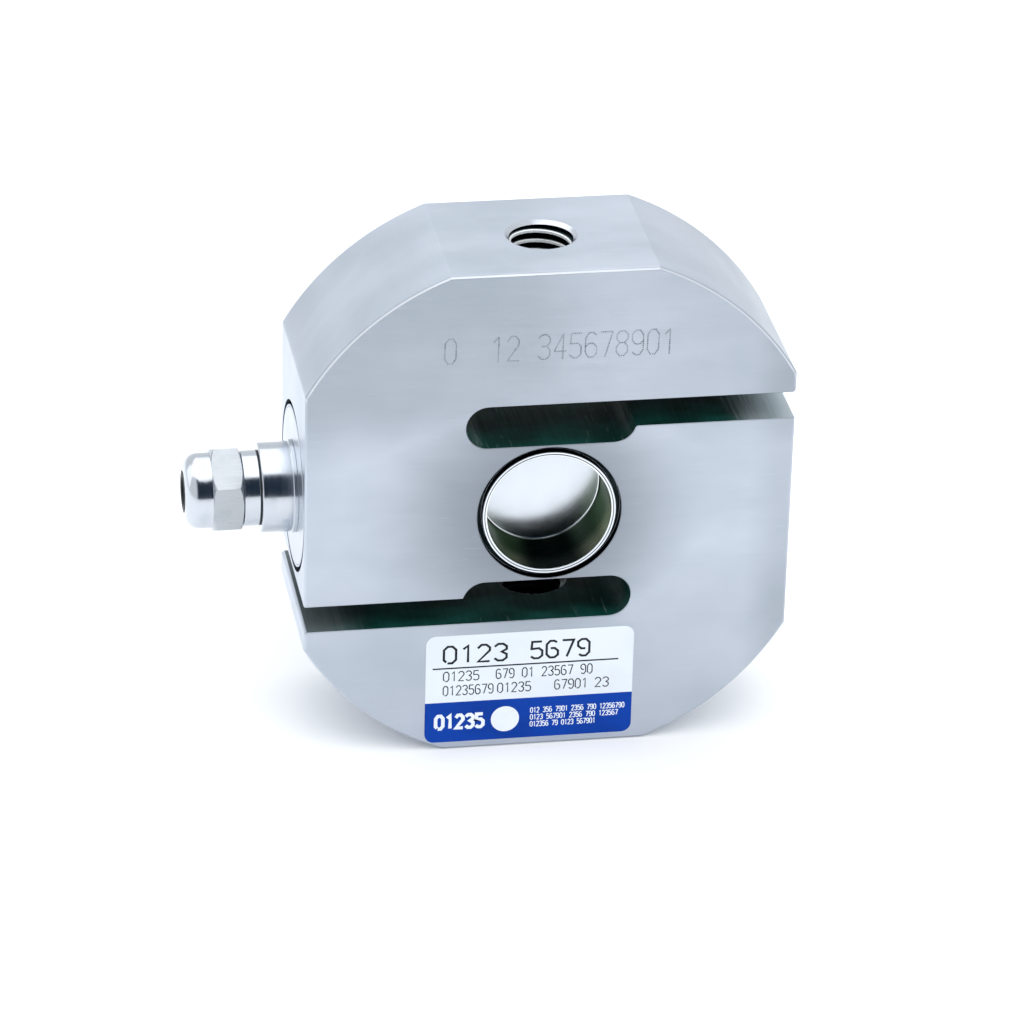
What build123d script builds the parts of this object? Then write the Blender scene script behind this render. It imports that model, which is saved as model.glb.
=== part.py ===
from build123d import *
import os
from math import cos, degrees, pi, radians, sin, tan

# S type load cell, in millimetres.
# The origin is the middle of the bottom face, on the load axis.
# +Z runs up the load axis, the labelled face looks along -Y, and the cable entry points along -X.

# Spring body outline: a turned disc with four flats
body_height = 89.0
body_width = 83.0
body_thickness = 30.5
disc_radius = 47.8
edge_chamfer = 0.4

# Gauge bore, the two slots and the thin webs between them
bore_radius = 11.0
web_thickness = 1.65
pocket_length = 28.9
pocket_height = 7.6
slot_height = 4.75
slot_shoulder_radius = 0.5
jaw_corner_radius = 0.6

# Weld lip and relief groove round each mouth of the gauge bore
bore_lip_thickness = 0.4
bore_groove_width = 0.9
bore_groove_depth = 1.5

# M12 load threads, drawn at their major radius
load_thread_radius = 6.0
load_thread_countersink = 0.3

# Junction chamber in the side of the body, closed by the side cover
side_land = 0.55
side_groove_width = 0.85
side_groove_depth = 1.2
side_lip_thickness = 0.4
cover_ledge_width = 1.4
chamber_depth = 8.0
board_ledge_width = 3.5
well_depth = 4.2
passage_radius = 1.6

# Sealing cups, and the room for the gauges between their floors
cup_gap = 0.05
cup_wall = 0.35
gauge_room_width = 7.3
cup_outer_bevel = 0.6
cup_inner_bevel = 0.3

# Strain gauges on the bore wall, placed by their angle from the load axis
gauge_angle = 30.0
gauge_length = 5.0
gauge_width = 3.4
gauge_thickness = 0.12
glue_gap = 0.02

# Solder terminals on the bore wall, placed by their angle from the horizontal
terminal_angle = 32.0
terminal_length = 1.8
terminal_width = 3.0
terminal_thickness = 0.5

# Bridge wires, from the terminals through the passage to the board
wire_radius = 0.25
wire_lane = 0.55
wire_lead_in = 1.8
wall_lane_inset = 1.0
wall_lane_gap = 1.7
wall_lane_angles = (65.0, 95.0, 125.0)
wall_descent_angle = 155.0
mouth_setback = 2.6
board_pad_offset = 3.6
well_run_in = 1.1

# Compensation board, its resistors and its two screws
board_gap = 0.3
board_thickness = 1.2
board_flat_depth = 1.0
resistor_height = 1.4
resistor_width = 2.0
resistor_length = 4.6
resistor_cap_length = 0.8
resistor_cap_step = 0.1
resistor_spread_y = 5.0
resistor_spread_z = 3.6
screw_thread_radius = 1.0
screw_hole_gap = 0.1
screw_head_radius = 1.8
screw_head_height = 1.2
screw_length = 3.6
screw_slot_width = 0.5
screw_slot_depth = 0.6
screw_tip_room = 0.6

# Side cover disc
cover_gap = 0.03
cover_thickness = 1.2

# Cable gland across its axis, from the cable outwards
fit_gap = 0.04
cable_radius = 2.5
seal_wall = 0.92
cage_wall = 0.5
stub_wall = 1.0
hex_wall = 1.85
dome_wall = 1.45
mouth_gap = 0.18
cone_step = 0.3
cone_gap = 0.1
gland_bore_room = 0.7
shank_wall = 1.8
collar_step = 1.45
gasket_recess = 0.07

# Cable gland along its axis, from the boss outwards
gasket_thickness = 0.2
shank_length = 5.5
collar_length = 2.75
collar_edge_chamfer = 0.2
stub_length = 4.5
stub_shoulder = 0.7
seat_gap = 0.05
cap_gap = 0.15
hex_length = 5.1
dome_length = 4.5
dome_round = 2.6
mouth_land = 0.6
cone_room = 0.3
seal_overhang = 0.1

# Hexagon of the cap and slits of the cage
hex_corner_angle = 34.0
hex_chamfer_angle = 30.0
cage_slit_width = 0.6
cage_slit_count = 6

# Entry boss, welded into the cover
boss_wall = 2.7
boss_length = 5.3
boss_edge_chamfer = 0.3
boss_flange_step = 0.25
boss_flange_thickness = 0.7
boss_spigot_wall = 1.5

# Label on the lower half of the labelled face
label_width = 35.9
label_height = 20.6
label_thickness = 0.12
label_corner_radius = 1.7
label_centre_x = -2.65
label_bottom = 1.5

# Places worked out from the sizes above
half_height = body_height / 2
half_width = body_width / 2
half_thickness = body_thickness / 2
bore_z = half_height
gland_z = half_height
pocket_near = bore_radius + web_thickness
pocket_far = pocket_near + pocket_height
bore_groove_inner = bore_radius + bore_lip_thickness
bore_groove_outer = bore_groove_inner + bore_groove_width
side_groove_outer = half_thickness - side_land
side_groove_inner = side_groove_outer - side_groove_width
cover_seat_radius = side_groove_inner - side_lip_thickness
chamber_radius = cover_seat_radius - cover_ledge_width
well_radius = chamber_radius - board_ledge_width
board_back = chamber_depth
well_floor = chamber_depth + well_depth
board_radius = chamber_radius - board_gap
screw_circle = (well_radius + board_radius) / 2
cup_radius = bore_radius - cup_gap
cup_floor = gauge_room_width / 2
gauge_face = bore_radius - glue_gap
terminal_face = gauge_face - terminal_thickness
seal_radius = cable_radius + seal_wall
cage_inner = seal_radius + fit_gap
cage_radius = cage_inner + cage_wall
stub_bore_radius = cage_radius + fit_gap
stub_radius = stub_bore_radius + stub_wall
mouth_radius = seal_radius + mouth_gap
cone_start_radius = stub_radius - cone_step
gland_bore_radius = cable_radius + gland_bore_room
gland_thread_radius = gland_bore_radius + shank_wall
collar_radius = gland_thread_radius + collar_step
gasket_radius = collar_radius - gasket_recess
boss_radius = gland_thread_radius + boss_wall
boss_flange_radius = boss_radius + boss_flange_step
boss_spigot_radius = gland_thread_radius + boss_spigot_wall
boss_end = boss_flange_thickness + boss_length
collar_start = boss_end + gasket_thickness
collar_end = collar_start + collar_length
hex_start = collar_end + cap_gap
hex_end = hex_start + hex_length
dome_end = hex_end + dome_length
stub_end = collar_end + stub_length
seat_start = collar_end + stub_shoulder
cone_start = stub_end + cone_room
cone_end = dome_end - mouth_land
cone_slope = (cone_start_radius - mouth_radius) / (cone_end - cone_start)
cage_end = cone_start + (cone_start_radius - cage_radius - cone_gap) / cone_slope

# How far a cutting shape reaches past what it cuts
cut_over = 1.0


def along_gland(shape):
    """Moves a shape drawn about the X axis, outwards along +X, to the cable entry."""
    return Pos(-half_width, 0, gland_z) * Rot(0, 180, 0) * shape


def turned(points):
    """Solid of revolution about X from (distance, radius) points."""
    outline = make_face(Polyline(*[(x, 0, r) for x, r in points], close=True))
    return revolve(outline, Axis.X)


def tube_x(start, end, radius):
    """Plain round bar about the X axis."""
    middle = (start + end) / 2
    return Pos(middle, 0, 0) * Rot(0, 90, 0) * Cylinder(radius, end - start)


def tube_y(start, end, radius):
    """Plain round bar along Y, about the bore's centre line."""
    middle = (start + end) / 2
    return Pos(0, middle, bore_z) * Rot(90, 0, 0) * Cylinder(radius, end - start)


def on_bore(radius, angle, y):
    """Point at a radius and angle about the bore's centre line, the angle from +X to +Z."""
    return Vector(radius * cos(radians(angle)), y, bore_z + radius * sin(radians(angle)))


def half_turn(shape):
    """The same shape turned half a turn about the Y axis through the bore."""
    return Pos(0, 0, bore_z) * Rot(0, 180, 0) * Pos(0, 0, -bore_z) * shape


def make_blank():
    """Disc with four flats and a chamfer round both faces."""
    outline = Circle(disc_radius) & Rectangle(body_width, body_height)
    blank = extrude(Plane.XZ * outline, half_thickness, both=True)
    blank = Pos(0, 0, half_height) * blank
    rims = blank.faces().sort_by(Axis.Y)[0].edges() + blank.faces().sort_by(Axis.Y)[-1].edges()
    return chamfer(rims, edge_chamfer)


def make_slot():
    """Upper slot: a round-ended pocket over the bore, and a narrow cut out to the right."""
    pocket_middle = (pocket_near + pocket_far) / 2
    pocket = Pos(0, pocket_middle) * SlotOverall(pocket_length, pocket_height)
    reach = half_width + cut_over
    cut = Pos(reach / 2, pocket_far - slot_height / 2) * Rectangle(reach, slot_height)
    profile = pocket + cut
    shoulder = profile.vertices().sort_by_distance((pocket_length / 2, pocket_far - slot_height))[0]
    profile = Plane.XZ * fillet(shoulder, slot_shoulder_radius)
    slot = extrude(profile, half_thickness + cut_over, both=True)
    return Pos(0, 0, bore_z) * slot


def make_jaw_rounding():
    """Corner taken off the upper jaw where the slot meets the right flat."""
    reach = jaw_corner_radius + cut_over
    corner = Rectangle(reach, reach, align=(Align.MIN, Align.MAX)) - Circle(jaw_corner_radius)
    corner = Pos(half_width - jaw_corner_radius, pocket_far + jaw_corner_radius) * corner
    return Pos(0, 0, bore_z) * extrude(Plane.XZ * corner, half_thickness + cut_over, both=True)


def make_load_thread():
    """Threaded hole from the top face down into the upper slot, with its countersink."""
    depth = half_height - pocket_far
    hole = Pos(0, 0, body_height - depth / 2) * Cylinder(load_thread_radius, depth + 2 * cut_over)
    mouth_z = body_height - load_thread_countersink
    sink = Pos(0, 0, mouth_z) * Cone(
        load_thread_radius,
        load_thread_radius + 2 * load_thread_countersink,
        2 * load_thread_countersink,
        align=(Align.CENTER, Align.CENTER, Align.MIN),
    )
    return hole + sink


def make_bore_groove(side):
    """Relief groove in the front face for side -1, in the rear face for side 1."""
    start = side * (half_thickness - bore_groove_depth)
    end = side * (half_thickness + cut_over)
    low = min(start, end)
    high = max(start, end)
    return tube_y(low, high, bore_groove_outer) - tube_y(low, high, bore_groove_inner)


def screw_places():
    """The two board screws, above and below the gland's centre line."""
    return [(0, screw_circle), (0, -screw_circle)]


def make_junction_chamber():
    """Cover seat, its relief groove, the board's ledge, the wire well and the passage."""
    seat = tube_x(-cover_thickness, cut_over, cover_seat_radius)
    groove = tube_x(-side_groove_depth, cut_over, side_groove_outer)
    groove -= tube_x(-side_groove_depth, cut_over, side_groove_inner)
    chamber = tube_x(-chamber_depth, 0, chamber_radius)
    well = tube_x(-well_floor, 0, well_radius)
    passage = tube_x(-half_width, -well_floor + cut_over, passage_radius)
    room = seat + groove + chamber + well + passage
    thread_end = -chamber_depth - (screw_length - board_thickness + screw_tip_room)
    for y, z in screw_places():
        room += Pos(0, y, z) * tube_x(thread_end, -chamber_depth + cut_over, screw_thread_radius)
    return along_gland(room)


def make_spring_body():
    slot = make_slot()
    rounding = make_jaw_rounding()
    thread = make_load_thread()
    body = make_blank()
    body -= slot
    body -= half_turn(slot)
    body -= rounding
    body -= half_turn(rounding)
    body -= thread
    body -= half_turn(thread)
    body -= tube_y(-half_thickness - cut_over, half_thickness + cut_over, bore_radius)
    body -= make_bore_groove(-1)
    body -= make_bore_groove(1)
    body -= make_junction_chamber()
    return body


def make_cup(side):
    """Drawn cup, its rim level with the body's face and its floor inside the bore."""
    rim = half_thickness
    inner = cup_radius - cup_wall
    floor_top = cup_floor + cup_wall
    points = [
        (inner, rim),
        (cup_radius, rim),
        (cup_radius, cup_floor),
        (0, cup_floor),
        (0, floor_top),
        (inner, floor_top),
    ]
    outline = make_face(Polyline(*[(r, y, 0) for r, y in points], close=True))
    outer_corner = outline.vertices().sort_by_distance((cup_radius, cup_floor, 0))[0]
    outline = chamfer(outer_corner, cup_outer_bevel)
    inner_corner = outline.vertices().sort_by_distance((inner, floor_top, 0))[0]
    outline = chamfer(inner_corner, cup_inner_bevel)
    cup = revolve(outline, Axis.Y)
    if side < 0:
        cup = Rot(0, 0, 180) * cup
    return Pos(0, 0, bore_z) * cup


def bore_patch(angle, length, width, thickness):
    """Curved plate on the bore wall, length round the bore and width along it."""
    ring = tube_y(-width / 2, width / 2, gauge_face) - tube_y(-width / 2, width / 2, gauge_face - thickness)
    half_angle = degrees(length / 2 / gauge_face)
    reach = 2 * bore_radius
    first = reach * cos(radians(half_angle)), -reach * sin(radians(half_angle))
    second = first[0], -first[1]
    wedge = make_face(Polyline((0, 0), first, second, close=True))
    wedge = extrude(Plane.XZ * wedge, width, both=True)
    wedge = Pos(0, 0, bore_z) * Rot(0, -angle, 0) * wedge
    return ring & wedge


def gauge_angles():
    """Angles of the four gauges, either side of the load axis at the top and the bottom."""
    return [90 - gauge_angle, 90 + gauge_angle, 270 - gauge_angle, 270 + gauge_angle]


def terminal_angles():
    """Angles of the four terminals, in the gauges' order."""
    return [terminal_angle, 180 - terminal_angle, 180 + terminal_angle, 360 - terminal_angle]


def make_gauge(angle):
    return bore_patch(angle, gauge_length, gauge_width, gauge_thickness)


def make_terminal(angle):
    return bore_patch(angle, terminal_length, terminal_width, terminal_thickness)


def passage_and_board(lane_y, lane_z):
    """The part of a wire's route from the passage to its pad on the board."""
    well_x = -half_width + well_floor
    board_x = -half_width + board_back
    turn_x = well_x - well_run_in
    pad_x = board_x + well_run_in + wire_radius
    pad_y = board_pad_offset * (1 if lane_y > 0 else -1)
    pad_z = board_pad_offset * (1 if lane_z > 0 else -1)
    return [
        Vector(turn_x, lane_y, gland_z + lane_z),
        Vector(pad_x, pad_y, gland_z + pad_z),
        Vector(board_x + glue_gap, pad_y, gland_z + pad_z),
    ]


def short_route():
    """From the upper left terminal straight to the passage."""
    angle = 180 - terminal_angle
    mouth = Vector(-bore_radius + mouth_setback, wire_lane, gland_z + wire_lane)
    start = on_bore(terminal_face - glue_gap, angle, wire_lane)
    lead_in = on_bore(terminal_face - wire_lead_in, angle, wire_lane)
    return [start, lead_in, mouth] + passage_and_board(wire_lane, wire_lane)


def long_route():
    """From the upper right terminal over the top of the bore wall to the passage."""
    lane_radius = bore_radius - wall_lane_inset
    lane_y = -cup_floor + wall_lane_gap
    mouth = Vector(-bore_radius + mouth_setback, -wire_lane, gland_z + wire_lane)
    start = on_bore(terminal_face - glue_gap, terminal_angle, -wire_lane)
    lead_in = on_bore(terminal_face - wire_lead_in, terminal_angle, -wire_lane)
    over = [on_bore(lane_radius, angle, lane_y) for angle in wall_lane_angles]
    descent = on_bore(lane_radius - wire_lead_in, wall_descent_angle, lane_y / 2)
    return [start, lead_in] + over + [descent, mouth] + passage_and_board(-wire_lane, wire_lane)


def make_wire(route):
    """Round wire along straight runs, mitred where they meet."""
    path = Polyline(*route)
    section = Plane(origin=path @ 0, z_dir=path % 0) * Circle(wire_radius)
    wire = sweep(section, path=path, transition=Transition.RIGHT)
    ratio = wire.volume / (pi * wire_radius ** 2 * path.length)
    print("wire length %.1f, volume ratio %.4f" % (path.length, ratio))
    return wire


def across_gland(shape):
    """The same shape turned half a turn about the gland's centre line."""
    return Pos(0, 0, gland_z) * Rot(180, 0, 0) * Pos(0, 0, -gland_z) * shape


def make_board():
    """Round board with one flat and two screw holes."""
    board = tube_x(-board_back, -board_back + board_thickness, board_radius)
    flat_y = 2 * board_radius - board_flat_depth
    off_cut = Box(2 * board_thickness, 2 * board_radius, 2 * board_radius)
    board -= Pos(-board_back + board_thickness / 2, flat_y, 0) * off_cut
    hole_radius = screw_thread_radius + screw_hole_gap
    hole_end = -board_back + board_thickness + cut_over
    for y, z in screw_places():
        board -= Pos(0, y, z) * tube_x(-board_back - cut_over, hole_end, hole_radius)
    return along_gland(board)


def make_resistor(place):
    """Chip resistor on the board, its body thinner than its two end caps."""
    y, z = place
    half = resistor_length / 2
    body = Box(resistor_height - 2 * resistor_cap_step, resistor_width - 2 * resistor_cap_step, resistor_length)
    cap = Box(resistor_height, resistor_width, resistor_cap_length)
    for end in (-1, 1):
        body += Pos(0, 0, end * (half - resistor_cap_length / 2)) * cap
    height = -board_back + board_thickness + resistor_height / 2 + glue_gap
    return along_gland(Pos(height, y, z) * body)


def resistor_places():
    """Four places on the board's outer face."""
    sides = [(-1, -1), (-1, 1), (1, -1), (1, 1)]
    return [(side_y * resistor_spread_y, side_z * resistor_spread_z) for side_y, side_z in sides]


def make_screw(place):
    """Slotted pan screw through the board into its ledge."""
    y, z = place
    under_head = -board_back + board_thickness
    head = tube_x(under_head, under_head + screw_head_height, screw_head_radius)
    shank = tube_x(under_head - screw_length, under_head, screw_thread_radius - fit_gap)
    slot_x = under_head + screw_head_height - screw_slot_depth / 2
    slot = Pos(slot_x, 0, 0) * Box(screw_slot_depth, screw_slot_width, 3 * screw_head_radius)
    return along_gland(Pos(0, y, z) * (head + shank - slot))


def make_cover():
    """Disc that closes the junction chamber, with a hole for the boss."""
    disc = tube_x(-cover_thickness, 0, cover_seat_radius - cover_gap)
    return along_gland(disc - tube_x(-cover_thickness - cut_over, cut_over, boss_spigot_radius))


def make_boss():
    """Turned boss: a spigot in the cover, a flange on it and a plain nose, tapped through."""
    outer = [
        (-cover_thickness, gland_thread_radius),
        (-cover_thickness, boss_spigot_radius - fit_gap),
        (0, boss_spigot_radius - fit_gap),
        (0, boss_flange_radius),
        (boss_flange_thickness, boss_flange_radius),
        (boss_flange_thickness, boss_radius),
        (boss_end - boss_edge_chamfer, boss_radius),
        (boss_end, boss_radius - boss_edge_chamfer),
        (boss_end, gland_thread_radius),
    ]
    return along_gland(turned(outer))


def make_gasket():
    """Flat ring between the boss and the gland's collar."""
    return along_gland(turned([
        (boss_end, gland_thread_radius),
        (boss_end, gasket_radius),
        (collar_start, gasket_radius),
        (collar_start, gland_thread_radius),
    ]))


def make_gland_body():
    """Shank in the boss, round collar, and a hollow stub that the cap screws on to."""
    outer = [
        (collar_start - shank_length, gland_bore_radius),
        (collar_start - shank_length, gland_thread_radius - fit_gap),
        (collar_start, gland_thread_radius - fit_gap),
        (collar_start, collar_radius - collar_edge_chamfer),
        (collar_start + collar_edge_chamfer, collar_radius),
        (collar_end - collar_edge_chamfer, collar_radius),
        (collar_end, collar_radius - collar_edge_chamfer),
        (collar_end, stub_radius),
        (stub_end, stub_radius),
        (stub_end, stub_bore_radius),
        (seat_start, stub_bore_radius),
        (seat_start, gland_bore_radius),
    ]
    return along_gland(turned(outer))


def make_cage():
    """Clamping cage: a ring in the stub with slit fingers towards the dome."""
    ring = tube_x(seat_start + seat_gap, cage_end, cage_radius)
    ring -= tube_x(seat_start, cage_end + cut_over, cage_inner)
    slit_length = cage_end - stub_end + cut_over
    slit = Box(slit_length, 2 * cage_radius, cage_slit_width, align=(Align.MIN, Align.MIN, Align.CENTER))
    for index in range(cage_slit_count):
        ring -= Rot(index * 360 / cage_slit_count, 0, 0) * Pos(stub_end, 0, 0) * slit
    return along_gland(ring)


def make_seal():
    """Rubber sleeve round the cable, just proud of the dome's mouth."""
    sleeve = tube_x(seat_start + seat_gap, dome_end + seal_overhang, seal_radius)
    sleeve -= tube_x(seat_start, dome_end + seal_overhang + cut_over, cable_radius)
    return along_gland(sleeve)


def make_cap():
    """Dome nut: a hexagon chamfered at both ends, a rounded dome and the clamping cone."""
    half_flats = stub_radius + hex_wall
    corner = half_flats / cos(radians(30))
    rise = (corner - half_flats) * tan(radians(hex_chamfer_angle))
    prism = Rot(0, 90, 0) * extrude(RegularPolygon(half_flats, 6, major_radius=False), hex_length)
    prism = Pos(hex_start, 0, 0) * Rot(hex_corner_angle, 0, 0) * prism
    envelope = turned([
        (hex_start, 0),
        (hex_start, half_flats),
        (hex_start + rise, corner),
        (hex_end - rise, corner),
        (hex_end, half_flats),
        (hex_end, 0),
    ])
    dome_radius = stub_radius + dome_wall
    dome_start = hex_end - rise
    dome = turned([(dome_start, 0), (dome_start, dome_radius), (dome_end, dome_radius), (dome_end, 0)])
    rim = dome.edges().filter_by(GeomType.CIRCLE).sort_by(Axis.X)[-1]
    dome = fillet(rim, dome_round)
    hollow = turned([
        (hex_start - cut_over, 0),
        (hex_start - cut_over, stub_radius + fit_gap),
        (cone_start, stub_radius + fit_gap),
        (cone_start, cone_start_radius),
        (cone_end, mouth_radius),
        (dome_end + cut_over, mouth_radius),
        (dome_end + cut_over, 0),
    ])
    return along_gland((prism & envelope) + dome - hollow)


def make_label():
    """Thin film on the labelled face."""
    film = RectangleRounded(label_width, label_height, label_corner_radius)
    film = extrude(Plane.XZ * film, label_thickness)
    return Pos(label_centre_x, -half_thickness, label_bottom + label_height / 2) * film


def make_all():
    """Every piece by its name."""
    pieces = {
        "spring_body": make_spring_body(),
        "front_cup": make_cup(-1),
        "rear_cup": make_cup(1),
        "compensation_board": make_board(),
        "side_cover": make_cover(),
        "entry_boss": make_boss(),
        "gland_gasket": make_gasket(),
        "gland_body": make_gland_body(),
        "gland_cage": make_cage(),
        "gland_seal": make_seal(),
        "gland_cap": make_cap(),
        "label": make_label(),
    }
    for number, angle in enumerate(gauge_angles(), 1):
        pieces["strain_gauge_%d" % number] = make_gauge(angle)
    for number, angle in enumerate(terminal_angles(), 1):
        pieces["gauge_terminal_%d" % number] = make_terminal(angle)
    long_wire = make_wire(long_route())
    short_wire = make_wire(short_route())
    pieces["bridge_wire_1"] = long_wire
    pieces["bridge_wire_2"] = short_wire
    pieces["bridge_wire_3"] = across_gland(short_wire)
    pieces["bridge_wire_4"] = across_gland(long_wire)
    for number, place in enumerate(resistor_places(), 1):
        pieces["trim_resistor_%d" % number] = make_resistor(place)
    for number, place in enumerate(screw_places(), 1):
        pieces["board_screw_%d" % number] = make_screw(place)
    return pieces


os.makedirs("parts", exist_ok=True)
for name, piece in make_all().items():
    export_step(piece, "parts/%s.step" % name)
    print(name, "volume %.1f" % piece.volume)
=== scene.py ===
import bpy
from math import acos, asin, cos, pi, radians, sin, sqrt, tan
from mathutils import Matrix, Vector
from mathutils.geometry import tessellate_polygon


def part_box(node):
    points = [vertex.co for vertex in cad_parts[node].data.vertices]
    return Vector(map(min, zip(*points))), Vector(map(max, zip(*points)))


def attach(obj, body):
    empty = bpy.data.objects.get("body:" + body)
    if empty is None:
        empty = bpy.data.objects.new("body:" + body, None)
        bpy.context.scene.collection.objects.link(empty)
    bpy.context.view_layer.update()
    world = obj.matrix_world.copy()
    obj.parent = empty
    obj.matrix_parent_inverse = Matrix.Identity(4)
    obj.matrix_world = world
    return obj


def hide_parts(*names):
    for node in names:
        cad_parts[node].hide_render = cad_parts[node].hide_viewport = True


# S type load cell. Pieces are drawn in millimetres from the middle of the spring body:
# X to the right of the label, Y away from it, Z up the load axis.

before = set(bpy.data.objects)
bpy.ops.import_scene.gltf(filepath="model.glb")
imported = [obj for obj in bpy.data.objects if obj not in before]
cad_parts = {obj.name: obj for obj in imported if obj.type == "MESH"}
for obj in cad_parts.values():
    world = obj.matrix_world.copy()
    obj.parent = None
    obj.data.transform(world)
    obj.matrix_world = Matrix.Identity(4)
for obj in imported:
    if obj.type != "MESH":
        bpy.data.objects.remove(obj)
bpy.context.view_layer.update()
bodyLow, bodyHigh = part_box("spring_body")
metre = 1000.0
sameSpot = 1e-4  # places closer than this are one
middle = (bodyLow + bodyHigh) / 2
middle.y = 0.0
halfWidth = bodyHigh.x * metre
halfHeight = (bodyHigh.z - middle.z) * metre
halfThickness = bodyHigh.y * metre


def toFrame(place):
    return place / metre + middle


# Looks

looks = {}


def startLook(name):
    look = bpy.data.materials.new(name)
    look.use_nodes = True
    looks[name] = look
    tree = look.node_tree
    return tree, tree.nodes["Principled BSDF"]


def addNode(tree, kind, **settings):
    node = tree.nodes.new(kind)
    for key, value in settings.items():
        setattr(node, key, value)
    return node


def ownPlace(tree, stretch=(1, 1, 1), turn=(0, 0, 0)):
    # the piece's own coordinates, stretched in marks per millimetre
    source = addNode(tree, "ShaderNodeTexCoord")
    mapping = addNode(tree, "ShaderNodeMapping")
    mapping.inputs["Location"].default_value = [-c * s * metre for c, s in zip(middle, stretch)]
    mapping.inputs["Rotation"].default_value = turn
    mapping.inputs["Scale"].default_value = [s * metre for s in stretch]
    tree.links.new(source.outputs["Object"], mapping.inputs["Vector"])
    return mapping.outputs["Vector"]


def ownAxes(tree):
    # X, Y and Z in millimetres from the middle of the body
    apart = addNode(tree, "ShaderNodeSeparateXYZ")
    tree.links.new(ownPlace(tree), apart.inputs["Vector"])
    return apart.outputs


def noise(tree, stretch, detail=3.0, rough=0.55, turn=(0, 0, 0)):
    node = addNode(tree, "ShaderNodeTexNoise")
    node.inputs["Scale"].default_value = 1.0
    node.inputs["Detail"].default_value = detail
    node.inputs["Roughness"].default_value = rough
    tree.links.new(ownPlace(tree, stretch, turn), node.inputs["Vector"])
    return node.outputs["Fac"]


def span(tree, value, low, high, toLow=0.0, toHigh=1.0):
    node = addNode(tree, "ShaderNodeMapRange", interpolation_type="SMOOTHSTEP")
    tree.links.new(value, node.inputs["Value"])
    for key, number in (("From Min", low), ("From Max", high), ("To Min", toLow), ("To Max", toHigh)):
        node.inputs[key].default_value = number
    return node.outputs["Result"]


def blendTones(tree, factor, first, second):
    node = addNode(tree, "ShaderNodeMix", data_type="RGBA")
    tree.links.new(factor, node.inputs["Factor"])
    for key, tone in (("A", first), ("B", second)):
        socket = [s for s in node.inputs if s.name == key and s.type == "RGBA"][0]
        if isinstance(tone, (tuple, list)):
            socket.default_value = (*tone, 1.0)
        else:
            tree.links.new(tone, socket)
    return [s for s in node.outputs if s.type == "RGBA"][0]


def reckon(tree, kind, first, second=0.0):
    # a value worked out by a node from sockets or numbers
    node = addNode(tree, "ShaderNodeMath", operation=kind)
    for socket, value in zip(node.inputs, (first, second)):
        if isinstance(value, (int, float)):
            socket.default_value = value
        else:
            tree.links.new(value, socket)
    return node.outputs["Value"]


def times(tree, first, second):
    return reckon(tree, "MULTIPLY", first, second)


def plus(tree, first, second):
    return reckon(tree, "ADD", first, second)


def minus(tree, first, second):
    return reckon(tree, "SUBTRACT", first, second)


def larger(tree, first, second):
    return reckon(tree, "MAXIMUM", first, second)


def smaller(tree, first, second):
    return reckon(tree, "MINIMUM", first, second)


def finishLook(tree, shader, tone, gloss, height, depth, metallic=0.0, **fixed):
    # tone and gloss from sockets, relief in millimetres, the rest set on the shader
    tree.links.new(tone, shader.inputs["Base Color"])
    tree.links.new(gloss, shader.inputs["Roughness"])
    bump = addNode(tree, "ShaderNodeBump")
    bump.inputs["Strength"].default_value = 1.0
    bump.inputs["Distance"].default_value = depth / metre
    tree.links.new(height, bump.inputs["Height"])
    tree.links.new(bump.outputs["Normal"], shader.inputs["Normal"])
    if isinstance(metallic, (int, float)):
        shader.inputs["Metallic"].default_value = metallic
    else:
        tree.links.new(metallic, shader.inputs["Metallic"])
    for key, value in fixed.items():
        shader.inputs[key.replace("_", " ")].default_value = value


def surface(name, tones, roughness, patches, grain, depth, **fixed):
    # two tones in soft patches, a finer grain in the gloss and in the relief
    tree, shader = startLook(name)
    cloud = span(tree, noise(tree, patches, 3.0, 0.5), 0.34, 0.66)
    fine = noise(tree, grain, 4.0, 0.6)
    gloss = span(tree, fine, 0.3, 0.7, *roughness)
    finishLook(tree, shader, blendTones(tree, cloud, *tones), gloss, fine, depth, **fixed)


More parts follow.
